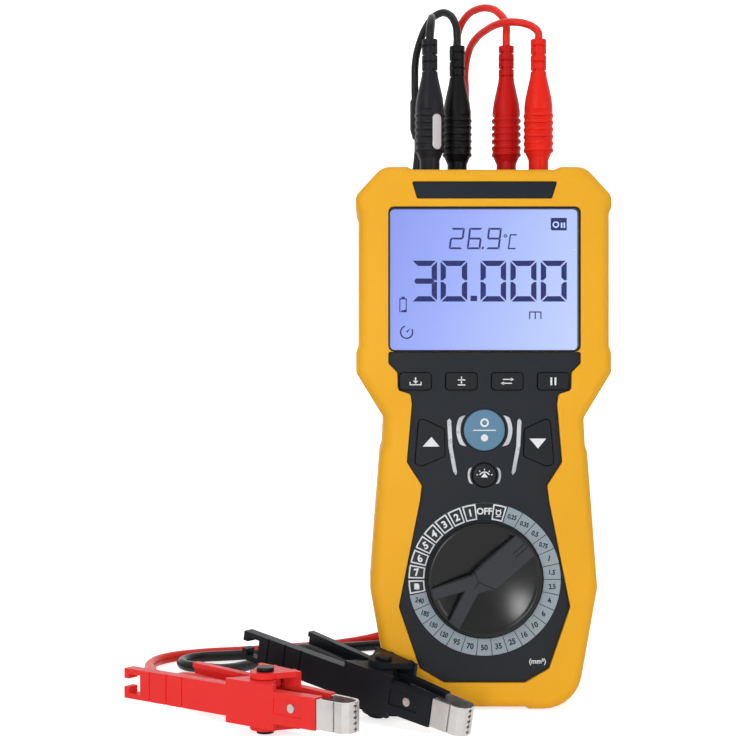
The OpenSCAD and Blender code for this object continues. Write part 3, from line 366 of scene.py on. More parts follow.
jackets = {"black": WIREBLK, "red": WIRERED}
cord_objs = {}
for key, route in tails.items():
    colour = key.split("_")[0]
    o = cord_curve("lead_" + key, route, LEAD_D, jackets[colour])
    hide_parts(key + "_tail")
    cord_objs[key] = (o, route)
for colour, z in COIL_Z.items():
    route = drops[colour] + coil_route(z) + runs[colour]
    o = cord_curve("cable_" + colour, route, CABLE_D, jackets[colour])
    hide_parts(colour + "_drop", colour + "_coil", colour + "_run")
    cord_objs[colour] = (o, route)

# The colour of each short lead, taken from its key
for key, (o, route) in cord_objs.items():
    if "_" in key:
        colour = key.split("_")[0]

# ------------------------------------------------------------------ CAD nodes

window_mat = Mat("window_clear")
window_mat.link(window_mat.spread(window_mat.noise(40.0, 2.0), 0.03, 0.07), "Roughness")
window_mat.set(Base_Color=(0.85, 0.89, 1.0, 1.0), IOR=1.45, Alpha=0.018)
WINDOW = window_mat.m

# The display glows from its lower right: a slanting ramp of blue, in metres across the face
LIT_SLANT, LIT_LEFT, LIT_RIGHT = -0.35, -0.112, -0.018
lcd_mat = Mat("display_lit")
sep = lcd_mat.t.nodes.new("ShaderNodeSeparateXYZ")
lcd_mat.t.links.new(lcd_mat.coord, sep.inputs["Vector"])
slant = lcd_mat.t.nodes.new("ShaderNodeMath")
slant.operation = "MULTIPLY_ADD"
slant.inputs[1].default_value = LIT_SLANT
lcd_mat.t.links.new(sep.outputs["Z"], slant.inputs[0])
lcd_mat.t.links.new(sep.outputs["X"], slant.inputs[2])
place = lcd_mat.t.nodes.new("ShaderNodeMapRange")
place.inputs["From Min"].default_value = LIT_LEFT
place.inputs["From Max"].default_value = LIT_RIGHT
lcd_mat.t.links.new(slant.outputs[0], place.inputs["Value"])
glow = lcd_mat.ramp(place.outputs["Result"], [
    (0.0, srgb(143, 160, 244)), (0.3, srgb(158, 175, 252)), (0.6, srgb(176, 194, 255)),
    (1.0, srgb(197, 214, 255))])
lcd_mat.link(glow, "Emission Color")
glass_tint = [(0.3, (0.016, 0.02, 0.04)), (0.7, (0.02, 0.025, 0.05))]
lcd_mat.link(lcd_mat.ramp(lcd_mat.noise(90.0, 2.0), glass_tint), "Base Color")
lcd_mat.set(Emission_Strength=0.95, Roughness=0.6, Specular_IOR_Level=0.05)
DISPLAY = lcd_mat.m

finish = {
    "front_case": YELLOW, "rear_case": YELLOW, "face_panel": DARK, "name_plate": PLATE,
    "display_frame": DARK, "display_window": WINDOW, "lcd_module": DISPLAY,
    "memory_key": KEYDARK, "calibrate_key": KEYDARK, "units_key": KEYDARK, "hold_key": KEYDARK,
    "up_key": KEYDARK, "down_key": KEYDARK, "material_key": BLUE, "backlight_key": KEYDARK,
    "keypad_mat": SEALRUB, "dial_ring": RING, "selector_knob": KNOB, "selector_rotor": WHITEPL,
    "main_board": BOARD, "battery_tray": BLACK, "batteries": CELL, "battery_contacts": STEEL,
    "battery_cover": DARK, "case_screws": STEEL, "tilt_stand": DARK, "stand_pin": STEEL,
    "socket_plate": DARK, "black_sockets": PLUGBLACK, "red_sockets": PLUGRED,
    # the inner plugs take darker copies of the plug colours: painted shade
    "socket_contacts": BRASS, "black_outer_plug": PLUGBLACK, "black_inner_plug": PLUGBLACK_SHADE,
    "red_inner_plug": PLUGRED_SHADE, "red_outer_plug": PLUGRED, "plug_pins": STEEL,
    "black_splitter": SPLITB, "red_splitter": SPLITR,
    "black_fixed_handle": BLACK, "black_moving_handle": BLACK, "black_fixed_jaw": JAWST,
    "black_moving_jaw": JAWST, "black_pivot_pin": BLACK, "black_clip_spring": SPRING,
    "red_fixed_handle": REDPL, "red_moving_handle": REDPL, "red_fixed_jaw": JAWST,
    "red_moving_jaw": JAWST, "red_pivot_pin": BLACK, "red_clip_spring": SPRING,
}
# Edge softening: width in millimetres, and the angle above which an edge is softened
soften = {}
for width, angle, names in (
        (0.35, 34, "front_case rear_case selector_knob"),
        (0.25, 34, "face_panel name_plate display_frame"),
        (0.25, 34, "black_outer_plug black_inner_plug red_inner_plug red_outer_plug"),
        (0.4, 34, "battery_cover black_splitter red_splitter"),
        (0.45, 34, "memory_key calibrate_key units_key hold_key"),
        (0.6, 34, "up_key down_key tilt_stand"),
        (0.3, 34, "socket_plate"),
        (0.1, 34, "dial_ring"),
        (0.5, 30, "black_fixed_handle black_moving_handle red_fixed_handle red_moving_handle"),
        (0.25, 30, "black_fixed_jaw black_moving_jaw red_fixed_jaw red_moving_jaw")):
    for n in names.split():
        soften[n] = (width, angle)
WELD = 0.000002  # metres
HANDLE_EDGE = 40  # degrees: the handles' corners stay crisp above this
for n, o in nodes.items():
    if n not in finish:
        continue
    o.data.materials.clear()
    o.data.materials.append(finish[n])
    o.data.polygons.foreach_set("use_smooth", [True] * len(o.data.polygons))
    o.modifiers.new("weld", "WELD").merge_threshold = WELD
    if n in soften:
        width, angle = soften[n]
        b = o.modifiers.new("soft_edge", "BEVEL")
        b.width = width * MM
        b.segments = 3
        b.limit_method = "ANGLE"
        b.angle_limit = math.radians(angle)
        b.use_clamp_overlap = True
        b.harden_normals = True
    if "handle" in n:
        o.modifiers.new("part_edges", "EDGE_SPLIT").split_angle = math.radians(HANDLE_EDGE)
    v = o.modifiers.new("even_shading", "WEIGHTED_NORMAL")
    v.weight = 80
    v.keep_sharp = True

# ------------------------------------------------------------------ printed and applied pieces

FACE = -24.0  # Y of the face


def deep(d):
    """Y at a depth d behind the face."""
    return FACE + d


FIGURE_HEIGHT = 0.7  # a figure's height as a share of the font size


class Relief:
    """Thin pieces built on the face: closed prisms over outlines [x, z] in millimetres."""

    def __init__(self):
        self.bm = bmesh.new()

    def prism(self, pts, d0, d1, mat=0):
        """A prism from depth d0 (front) to d1 (back). Its outline may run either way."""
        area2 = sum(a[0] * b[1] - b[0] * a[1] for a, b in zip(pts, pts[1:] + pts[:1]))
        if area2 < 0:
            pts = pts[::-1]
        f = [self.bm.verts.new((x * MM, deep(d0) * MM, z * MM)) for x, z in pts]
        b = [self.bm.verts.new((x * MM, deep(d1) * MM, z * MM)) for x, z in pts]
        faces = [self.bm.faces.new(f), self.bm.faces.new(b[::-1])]
        for i in range(len(f)):
            j = (i + 1) % len(f)
            faces.append(self.bm.faces.new((f[i], b[i], b[j], f[j])))
        for x in faces:
            x.material_index = mat

    def box(self, x0, x1, z0, z1, d0, d1, mat=0):
        """An upright block over a rectangle."""
        self.prism([(x0, z0), (x1, z0), (x1, z1), (x0, z1)], d0, d1, mat)

    def ring(self, cx, cz, r0, r1, a0, a1, d0, d1, mat, n):
        """An arc band in n steps, angles clockwise from the top, in degrees."""
        full = abs(a1 - a0) >= 359.9
        rows = []
        for i in range(n if full else n + 1):
            a = math.radians(a0 + (a1 - a0) * i / n)
            s, c = math.sin(a), math.cos(a)
            rows.append([self.bm.verts.new(((cx + r * s) * MM, deep(d) * MM, (cz + r * c) * MM))
                for r, d in ((r0, d0), (r1, d0), (r1, d1), (r0, d1))])
        faces = []
        for i in range(n):
            a, b = rows[i], rows[(i + 1) % len(rows)]
            for k in range(4):
                m = (k + 1) % 4
                faces.append(self.bm.faces.new((a[k], b[k], b[m], a[m])))
        if not full:
            faces.append(self.bm.faces.new(rows[0]))
            faces.append(self.bm.faces.new(rows[-1][::-1]))
        for x in faces:
            x.material_index = mat

    def text(self, body, cx, cz, height, d0, d1, mat=0, turn=0.0, wide=1.0, weight=0.0):
        """Plain figures or a unit, centred on (cx, cz); height is that of a figure.

        turn is in degrees, wide stretches the figures and weight thickens their strokes.
        """
        c = bpy.data.curves.new("t", "FONT")
        c.body = body
        c.align_x, c.align_y = "CENTER", "CENTER"
        c.size = height / FIGURE_HEIGHT * MM
        c.offset = weight * MM
        c.resolution_u = 4
        c.extrude = (d1 - d0) / 2 * MM
        o = bpy.data.objects.new("t", c)
        scene.collection.objects.link(o)
        bpy.context.view_layer.update()
        graph = bpy.context.evaluated_depsgraph_get()
        me = bpy.data.meshes.new_from_object(o.evaluated_get(graph))
        a = math.radians(turn)
        rot = Matrix.Rotation(a, 4, "Y") @ Matrix.Rotation(math.pi / 2, 4, "X")
        xs = [v.co.x for v in me.vertices]
        ys = [v.co.y for v in me.vertices]
        mid = Vector(((min(xs) + max(xs)) / 2, (min(ys) + max(ys)) / 2, 0))
        shift = Matrix.Translation((cx * MM, deep((d0 + d1) / 2) * MM, cz * MM))
        me.transform(shift @ rot @ Matrix.Diagonal((wide, 1, 1, 1)) @ Matrix.Translation(-mid))
        n0 = len(self.bm.faces)
        self.bm.from_mesh(me)
        self.bm.faces.ensure_lookup_table()
        for f in self.bm.faces[n0:]:
            f.material_index = mat
        bpy.data.objects.remove(o)
        bpy.data.curves.remove(c)
        bpy.data.meshes.remove(me)

    def make(self, name, materials, body, slot, smooth=None, bevel=0.0):
        """The finished piece on its body, its edges softened by bevel millimetres."""
        me = mesh_of(self.bm, name)
        o = bpy.data.objects.new(name, me)
        scene.collection.objects.link(o)
        for m in materials:
            me.materials.append(m)
        if smooth:
            me.polygons.foreach_set("use_smooth", [True] * len(me.polygons))
            me.set_sharp_from_angle(angle=math.radians(smooth))
        if bevel:
            b = o.modifiers.new("soft_edge", "BEVEL")
            b.width = bevel * MM
            b.segments = 2
            b.limit_method = "ANGLE"
            b.angle_limit = math.radians(40)
        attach(o, body)


def polar(cx, cz, r, a):
    """The point at r from (cx, cz), a degrees clockwise from the top."""
    a = math.radians(a)
    return (cx + r * math.sin(a), cz + r * math.cos(a))


# --- what the display shows: plain figures in dark segments


def lx(u):
    """X of a place measured across the display, seven units to a pixel of the picture."""
    return (12 + u / 7) * 0.43623 - 50.7


def lz(v):
    """Z of a place measured down the display in the same units."""
    return 224.77 - 0.06232 * v


SEG = paint("segment_navy", srgb(20, 34, 108), 0.6)
SEGTHIN = paint("segment_navy_thin", srgb(34, 46, 116), 0.6)
BADGE = paint("badge_light", srgb(186, 202, 252), 0.6, 0.35)
BOLD, THIN, LIGHT = range(3)  # the places of these in the piece
SEG_D0, SEG_D1 = 3.215, 3.285  # depths, in the gap between the window and the display
seven = {"0": "abcdef", "2": "abged", "3": "abgcd", "6": "afgedc", "9": "abgfcd"}


def digit(rel, ch, x0, x1, z0, z1, t, g, lean=0.0, mat=BOLD):
    """A seven-segment figure in strokes t wide with gaps g, leaning by lean."""
    zm = (z0 + z1) / 2
    h = t / 2

    def side(x, k, z, up):
        """An upright stroke from its outer corner at z to the middle."""
        return [(x, z + up * g), (x, zm - up * g * 0.8), (x + k * t * 0.45, zm - up * g * 0.8),
            (x + k * t, zm - up * (g + t * 0.45)), (x + k * t, z + up * (g + t))]

    shapes = {
        "a": [(x0 + g, z1), (x1 - g, z1), (x1 - g - t, z1 - t), (x0 + g + t, z1 - t)],
        "d": [(x0 + g, z0), (x1 - g, z0), (x1 - g - t, z0 + t), (x0 + g + t, z0 + t)],
        "f": side(x0, 1, z1, -1), "b": side(x1, -1, z1, -1),
        "e": side(x0, 1, z0, 1), "c": side(x1, -1, z0, 1),
        "g": [(x0 + g + h * 0.6, zm), (x0 + g + h * 1.2, zm + h), (x1 - g - h * 1.2, zm + h),
            (x1 - g - h * 0.6, zm), (x1 - g - h * 1.2, zm - h), (x0 + g + h * 1.2, zm - h)],
    }
    for name in seven[ch]:
        rel.prism([(x + (z - z0) * lean, z) for x, z in shapes[name]], SEG_D0, SEG_D1, mat)


rel = Relief()
large = (("3", 222, 400), ("0", 425, 612), ("0", 705, 885), ("0", 915, 1098), ("0", 1128, 1310))
for ch, u0, u1 in large:
    digit(rel, ch, lx(u0), lx(u1), lz(745), lz(458), 2.35, 0.45)
rel.box(lx(635), lx(681), lz(742), lz(704), SEG_D0, SEG_D1)
for ch, u0 in (("2", 482), ("6", 608), ("9", 742)):
    digit(rel, ch, lx(u0), lx(u0 + 96), lz(378), lz(228), 0.85, 0.12, 0.12, THIN)
rel.prism([(lx(713), lz(378)), (lx(726), lz(378)), (lx(730), lz(360)), (lx(717), lz(360))],
    SEG_D0, SEG_D1, THIN)
rel.ring(lx(880), lz(284), 0.35, 0.75, 0, 360, SEG_D0, SEG_D1, THIN, 16)
# unit letter C of the small reading
x0, x1, z0, z1, t = lx(898), lx(950), lz(378), lz(272), 0.6
for pts in ([(x0 + 1.0, z1), (x1 + 0.7, z1), (x1 + 0.6, z1 - t), (x0 + 0.9, z1 - t)],
        [(x0, z0), (x1, z0), (x1 + 0.1, z0 + t), (x0 + 0.1, z0 + t)],
        [(x0 - 0.1, z0 + 0.2), (x0 + 0.5, z0 + 0.2), (x0 + 1.35, z1 - 0.2), (x0 + 0.75, z1 - 0.2)]):
    rel.prism(pts, SEG_D0, SEG_D1, THIN)
# unit letter m of the large reading
x, z0, z1 = lx(1046), lz(868), lz(815)
for i in range(3):
    rel.box(x + i * 2.45, x + i * 2.45 + 0.5, z0, z1, SEG_D0, SEG_D1, THIN)
rel.prism([(x, z1 - 0.45), (x + 5.4, z1 - 0.45), (x + 5.0, z1 + 0.05), (x, z1 + 0.05)],
    SEG_D0, SEG_D1 - 0.01, THIN)
# badge: a dark tab with a light ring and two bars
x0, x1, z0, z1 = lx(1198), lx(1310), lz(246), lz(158)
rel.prism([(x0, z0 + 0.5), (x0 + 0.5, z0), (x1, z0), (x1, z1), (x0, z1)], SEG_D0, SEG_D1)
rel.ring(x0 * 0.68 + x1 * 0.32, (z0 + z1) / 2 - 0.2, 0.85, 1.45, 0, 360, SEG_D0 - 0.01, SEG_D1,
    LIGHT, 20)
for x in (x1 - 2.6, x1 - 1.4):
    rel.box(x, x + 0.7, z0 + 1.1, z0 + 3.4, SEG_D0 - 0.01, SEG_D1, LIGHT)
# battery mark
x0, x1, z0, z1 = lx(136), lx(188), lz(820), lz(722)
for x in (x0, x1 - 0.45):
    rel.box(x, x + 0.45, z0, z1, SEG_D0, SEG_D1, THIN)
rel.prism([(x0 + 0.4, z0), (x1 - 0.4, z0), (x1 - 0.4, z0 + 1.1), (x0 + 1.2, z0 + 0.9)],
    SEG_D0, SEG_D1)
rel.box(x0 + 0.4, x1 - 0.4, z1 - 0.5, z1, SEG_D0, SEG_D1, THIN)
rel.box(x0 + 0.9, x1 - 0.9, z1, z1 + 0.7, SEG_D0, SEG_D1, THIN)
# timer mark: an open ring with a short hand
x, z = lx(187), lz(960)
rel.ring(x, z, 2.35, 2.95, 60, 345, SEG_D0, SEG_D1, BOLD, 40)
rel.prism([(x - 0.2, z + 0.4), (x + 0.3, z - 0.3), (x + 1.7, z + 1.7)], SEG_D0, SEG_D1)
rel.make("display_reading", [SEG, SEGTHIN, BADGE], "meter", "display")

# --- dial: thirty places at 12 degrees, printed on the ring in raised layers
DIAL_X, DIAL_Z = 0.0, 57.2
RING_R0, RING_R1 = 26.1, 33.1
RING_MID = (RING_R0 + RING_R1) / 2
PLACE = 12  # degrees
INKLINE = paint("ink_line", srgb(44, 52, 62), 0.4)
CELLTINT = plastic("cell_tint", srgb(152, 165, 173), 0.22, 900.0, 0.0, 0.03, 0.1, 0.4, 0.05)
BOXFILL = plastic("box_fill", srgb(27, 29, 35), 0.22, 900.0, 0.0, 0.05, 0.1, 0.4, 0.05)
BORDER = plastic("box_border", srgb(226, 230, 234), 0.25, 900.0, 0.0, 0.02, 0.1, 0.4, 0.05)
GAPDARK = plastic("gap_dark", srgb(33, 36, 41), 0.4, 900.0, 0.0, 0.04)
GROUND, CELLS, BORDERS, FIGURES, LINES, FILLS = range(6)
PRINT, UNDER = 1.335, 1.40  # depths of the print's front and of the ring's front under it
MARK_D0, MARK_D1 = PRINT - 0.08, PRINT - 0.03  # figures and icons in the bordered places
sizes = ["0.25", "0.35", "0.5", "0.75", "1", "1.5", "2.5", "4", "6", "10", "16", "25", "35", "50",
    "70", "95", "120", "150", "185", "240"]
FIRST_SIZE, ICON_RIGHT, ICON_LEFT, FIRST_USER = 24, 12, 264, 276  # degrees from the top
rel = Relief()
# dark ground from the left icon over the user places and OFF to the right icon
rel.ring(DIAL_X, DIAL_Z, RING_R0 - 0.15, RING_R1 + 0.15, 258.2, 377.8, PRINT, UNDER, GROUND, 60)
for i, v in enumerate(sizes):
    a = FIRST_SIZE + PLACE * i
    rel.ring(DIAL_X, DIAL_Z, RING_R0, RING_R1, a - 5.75, a + 5.75, PRINT, UNDER, CELLS, 6)
    x, z = polar(DIAL_X, DIAL_Z, RING_MID + 0.1, a)
    height = 2.35 if len(v) < 3 else 2.1 if len(v) == 3 else 1.9
    lean = 20 * math.sin(math.radians(2 * a))
    rel.text(v, x, z, height, PRINT - 0.035, PRINT + 0.01, FIGURES, lean,
        0.92 if len(v) < 3 else 0.84, 0.11)
for i in range(len(sizes) + 1):
    a = FIRST_SIZE + PLACE * (i - 0.5)
    rel.ring(DIAL_X, DIAL_Z, RING_R0 - 0.1, RING_R1 + 0.1, a - 0.3, a + 0.3, PRINT - 0.01, UNDER,
        LINES, 2)
# bordered places: the icon beside OFF, the icon at the left and the seven user places
users = [FIRST_USER + PLACE * i for i in range(7)]
for a in [ICON_RIGHT, ICON_LEFT] + users:
    rel.ring(DIAL_X, DIAL_Z, RING_R0 + 0.05, RING_R1 - 0.05, a - 5.2, a + 5.2, PRINT - 0.02, UNDER,
        BORDERS, 6)
    rel.ring(DIAL_X, DIAL_Z, RING_R0 + 0.65, RING_R1 - 0.65, a - 4.1, a + 4.1, PRINT - 0.045,
        UNDER, FILLS, 6)
for i, a in enumerate(users):
    x, z = polar(DIAL_X, DIAL_Z, RING_MID, a)
    rel.text(str(7 - i), x, z, 3.0, MARK_D0, MARK_D1, BORDERS, 32 * math.sin(math.radians(2 * a)),
        1.0, 0.15)
x, z = polar(DIAL_X, DIAL_Z, RING_MID + 0.1, 0)
rel.text("OFF", x, z, 2.75, PRINT - 0.05, PRINT + 0.01, BORDERS, 0, 0.98, 0.13)
# icon on the right: a small dial mark
x, z = polar(DIAL_X, DIAL_Z, RING_MID, ICON_RIGHT)
rel.ring(x, z, 0.75, 1.25, 0, 360, MARK_D0, MARK_D1, BORDERS, 20)
for side in (-1, 1):
    rel.box(x + side - 0.2, x + side + 0.2, z + 0.9, z + 1.6, MARK_D0, MARK_D1, BORDERS)
rel.box(x - 1.2, x + 1.2, z - 1.75, z - 1.4, MARK_D0, MARK_D1, BORDERS)
# icon on the left: a page
x, z = polar(DIAL_X, DIAL_Z, RING_MID, ICON_LEFT)
rel.prism([(x - 1.1, z - 1.3), (x + 1.1, z - 1.3), (x + 1.1, z + 0.7), (x + 0.5, z + 1.3),
    (x - 1.1, z + 1.3)], MARK_D0, MARK_D1, BORDERS)
rel.make("dial_scale", [GAPDARK, CELLTINT, BORDER, INKDARK, INKLINE, BOXFILL], "meter",
    "ring_plastic")

# unit of the scale, at the lower right of the panel
PANEL_D0, PANEL_D1 = 1.43, 1.50  # depths of the print's front and of the panel's front
rel = Relief()
rel.text("(mm²)", 23.2, 21.2, 2.2, 1.44, PANEL_D1, 0, 0, 0.95, 0.05)
rel.make("scale_unit", [INKWHITE], "meter", "dark_plastic")

# --- keys: plain symbols where the words stand
KEY_FRONT = 0.8  # depth of the flat keys' front
K0, K1 = KEY_FRONT - 0.045, KEY_FRONT + 0.02  # a symbol's front and its foot in the key
SMALL_Z, ROUND_Z, LAMP_Z = 143.5, 122.2, 102.6  # middles of the keys


def on_key(name, body, build, slot="dark_plastic"):
    r = Relief()
    build(r)
    r.make(name, [INKWHITE], body, slot)


def bar(r, x0, x1, z0, z1):
    r.box(x0, x1, z0, z1, K0, K1)


def memory_mark(r):
    """An arrow into a tray."""
    x, z = -30, SMALL_Z
    bar(r, x - 2.6, x + 2.6, z - 1.7, z - 1.25)
    bar(r, x - 2.6, x - 2.15, z - 1.3, z - 0.2)
    bar(r, x + 2.15, x + 2.6, z - 1.3, z - 0.2)
    bar(r, x - 0.3, x + 0.3, z - 0.1, z + 1.7)
    r.prism([(x - 1.2, z + 0.2), (x + 1.2, z + 0.2), (x, z - 1.0)], K0, K1)


def calibrate_mark(r):
    """A plus over a minus."""
    x, z = -10, SMALL_Z
    bar(r, x - 1.6, x + 1.6, z + 0.35, z + 0.85)
    bar(r, x - 0.25, x + 0.25, z - 0.95, z + 2.1)
    bar(r, x - 1.6, x + 1.6, z - 1.8, z - 1.3)


def units_mark(r):
    """Two arrows that change places."""
    x = 10
    for s in (-1, 1):
        z = SMALL_Z + s * 0.85
        bar(r, x - 2.0, x + 2.0, z - 0.22, z + 0.22)
        r.prism([(x + s * 1.5, z - 0.75), (x + s * 1.5, z + 0.75), (x + s * 2.9, z)], K0, K1)


def hold_mark(r):
    """Two upright bars."""
    x, z = 30, SMALL_Z
    bar(r, x - 1.3, x - 0.5, z - 1.7, z + 1.7)
    bar(r, x + 0.5, x + 1.3, z - 1.7, z + 1.7)


def up_mark(r):
    r.prism([(-26.9, 115.1), (-19.6, 115.1), (-23.1, 119.3)], K0, K1)


def down_mark(r):
    r.prism([(19.6, 118.6), (26.9, 118.6), (23.3, 114.2)], K0, K1)


def material_mark(r):
    """A ring and a dot either side of a line, on the crown of the large round key."""
    r.box(-5.0, 5.0, ROUND_Z - 0.25, ROUND_Z + 0.25, 0.24, KEY_FRONT)
    r.ring(0, ROUND_Z + 3.3, 1.1, 1.9, 0, 360, 0.30, KEY_FRONT, 0, 28)
    r.ring(0, ROUND_Z - 3.3, 0.0005, 1.55, 0, 360, 0.30, KEY_FRONT, 0, 24)


def lamp_mark(r):
    """A lamp with five rays, on the crown of the small round key."""
    z = LAMP_Z
    bar(r, -0.55, 0.55, z - 3.0, z - 0.2)
    r.prism([(-1.5, z - 0.9), (1.5, z - 0.9), (0, z + 1.1)], 0.44, 0.75)
    r.ring(0, z - 0.9, 2.1, 2.55, -62, 62, 0.44, KEY_FRONT, 0, 14)
    for a in (-70, -38, 0, 38, 70):
        x0, z0 = polar(0, z - 0.9, 3.05, a)
        x1, z1 = polar(0, z - 0.9, 3.75, a)
        nx, nz = (z1 - z0) * 0.28, -(x1 - x0) * 0.28
        r.prism([(x0 - nx, z0 - nz), (x0 + nx, z0 + nz), (x1 + nx, z1 + nz), (x1 - nx, z1 - nz)],
            0.46, KEY_FRONT)


on_key("memory_symbol", "memory_button", memory_mark)
on_key("calibrate_symbol", "calibrate_button", calibrate_mark)
on_key("units_symbol", "units_button", units_mark)
on_key("hold_symbol", "hold_button", hold_mark)
on_key("up_arrow", "up_button", up_mark)
on_key("down_arrow", "down_button", down_mark)
on_key("material_symbol", "material_button", material_mark, "blue_plastic")
on_key("lamp_symbol", "backlight_button", lamp_mark)

# --- silver trim printed on the panel: arcs beside the round keys and a tapering bar each side
silver = Mat("trim_silver")
shades = [(0.3, srgb(150, 152, 158)), (0.7, srgb(196, 198, 204))]
silver.link(silver.ramp(silver.noise(60.0, 3.0), shades), "Base Color")
silver.link(silver.spread(silver.noise(300.0), 0.25, 0.4), "Roughness")
silver.set(Metallic=0.35)
BAR = [(-16.2, 126.2), (-15.2, 127.3), (-14.4, 126.2), (-13.9, 115.0), (-11.9, 103.8),
    (-12.4, 102.6), (-13.6, 104.2), (-15.6, 115.0)]
# inner radius, width, first and last angle, height of the middle
ARCS = ((10.45, 1.75, 52, 132, ROUND_Z), (6.3, 0.95, 58, 128, LAMP_Z))
ARC_STEPS = 20
rel = Relief()
for side in (-1, 1):
    for r0, wide, a0, a1, z in ARCS:
        angles = [side * (a0 + (a1 - a0) * i / ARC_STEPS) for i in range(ARC_STEPS + 1)]
        arc = [polar(0, z, r0, a) for a in angles]
        for i in range(ARC_STEPS, -1, -1):
            swell = min(1.0, 2.4 * math.sin(math.pi * i / ARC_STEPS))
            arc.append(polar(0, z, r0 + wide * swell + 0.02, angles[i]))
        rel.prism(arc, PANEL_D0, PANEL_D1)
    rel.prism([(-side * x, z) for x, z in BAR], PANEL_D0, PANEL_D1)
rel.make("panel_trim", [silver.m], "meter", "dark_plastic")

# --- knob: a deep glossy dish under the three-armed grip, in place of the plain solid
KNOB_BACK = 1.2  # depth of the knob's back, from which heights run forward
KNOB_R = 24.8
RIM_H, RIM_ROUND = 2.5, 1.1  # where the rim's outer edge starts to round, and its radius
DISH_R, DISH_H, DISH_RISE = KNOB_R - 2.4, 0.35, 3.0  # the dish, its bottom and its rise
DISH_STEPS, KNOB_SIDES = 24, 128
GRIP_H, GRIP_FOOT = 6.2, 0.6  # front of the arms, and their back inside the dish
POINTER = 42  # degrees anticlockwise from +X


def knob_point(r, a, h):
    """r from the knob's axis, a anticlockwise from +X and h forward from its back."""
    return (r * math.cos(a) * MM, deep(KNOB_BACK - h) * MM, (DIAL_Z + r * math.sin(a)) * MM)


# half section from the back over the rim to the middle
profile = [(3.0, 0.0), (KNOB_R, 0.0)]
for t in range(0, 91, 15):
    t = math.radians(t)
    profile.append((KNOB_R - RIM_ROUND + RIM_ROUND * math.cos(t), RIM_H + RIM_ROUND * math.sin(t)))
profile += [(KNOB_R - 1.9, 3.62), (KNOB_R - 2.2, 3.5)]
for i in range(DISH_STEPS):
    r = DISH_R * (1 - i / DISH_STEPS)
    profile.append((r, DISH_H + DISH_RISE * (r / DISH_R) ** 2))
bm = bmesh.new()
rings = []
for r, h in profile:
    rings.append([bm.verts.new(knob_point(r, 2 * math.pi * i / KNOB_SIDES, h))
        for i in range(KNOB_SIDES)])
centre = bm.verts.new(knob_point(0, 0, DISH_H))
lathe(bm, rings)
for i in range(KNOB_SIDES):
    bm.faces.new((rings[-1][i], rings[-1][(i + 1) % KNOB_SIDES], centre))
bm.faces.new(rings[0][::-1])
dish = add("knob_dish", mesh_of(bm, "knob_dish"), KNOB, "selector", 40)


def arm(name, angle, w, dx, dz, root, short):
    """An arm w wide towards angle, from root to the knob's edge, moved by (dx, dz)."""
    a = math.radians(angle)
    ca, sa = math.cos(a), math.sin(a)
    limit = KNOB_R - 1.0
    pts = [(root, -w / 2), (KNOB_R - w * 0.12, -w / 2), (KNOB_R, -w / 4), (KNOB_R, w / 4),
        (KNOB_R - w * 0.12, w / 2), (root, w / 2)]
    outline = []
    for x, y in pts:
        px, py = x * ca - y * sa + dx, x * sa + y * ca + dz
        k = math.hypot(px, py)
        if k > limit:
            px, py = px * limit / k, py * limit / k
        outline.append((px, DIAL_Z + py))
    r = Relief()
    r.prism(outline, KNOB_BACK - (GRIP_H - short), KNOB_BACK - GRIP_FOOT)
    r.make(name, [KNOBTOP], "selector", "black_plastic", 30, 0.55)


arm("knob_pointer", POINTER, 12.0, 0, 0, 0.6, 0)
arm("knob_leg_upper", 197, 5.6, -4, 0, 0.0, 0.02)
arm("knob_leg_lower", 242, 6.0, -3, 1, -1.0, 0.04)
hub = [(-6.0, -2.4), (-3.4, -5.4), (1.5, -3.8), (4.9, -4.0), (4.0, 4.0), (-3.7, 4.9), (-5.6, 1.2)]
r = Relief()
r.prism([(x, DIAL_Z + z) for x, z in hub], KNOB_BACK - GRIP_H + 0.03, KNOB_BACK - GRIP_FOOT)
r.make("knob_hub", [KNOBTOP], "selector", "black_plastic", 30, 0.3)


def groove(r, p, q, w):
    """A dark line w wide from p to q, a hair proud of the grip: painted shade standing in for a
    groove.
    """
    dx, dz = q[0] - p[0], q[1] - p[1]
    k = w / 2 / math.hypot(dx, dz)
    nx, nz = -dz * k, dx * k
    r.prism([(p[0] + nx, DIAL_Z + p[1] + nz), (q[0] + nx, DIAL_Z + q[1] + nz),
        (q[0] - nx, DIAL_Z + q[1] - nz), (p[0] - nx, DIAL_Z + p[1] - nz)],
        KNOB_BACK - GRIP_H - 0.015, KNOB_BACK - GRIP_H + 0.2)


# dark of the knob's grooves, drawn as proud strips: painted shade
GROOVE_SHADE = plastic("groove_painted_shade", srgb(26, 27, 30), 0.5, 900.0, 0.0)
r = Relief()
meet = (-3.0, -0.4)  # where the painted groove shade lines of the three arms meet
groove(r, (-4.6, 3.9), meet, 0.4)
groove(r, meet, (4.6, -3.6), 0.4)
groove(r, meet, (-4.6, -3.0), 0.4)
ca, sa = math.cos(math.radians(POINTER)), math.sin(math.radians(POINTER))
for side in (-0.95, 0.95):
    p, q = [(k * ca - side * sa, k * sa + side * ca) for k in (KNOB_R - 8.2, KNOB_R - 1.6)]
    groove(r, p, q, 0.45)
r.make("knob_groove_shade", [GROOVE_SHADE], "selector", "black_plastic")
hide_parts("selector_knob")
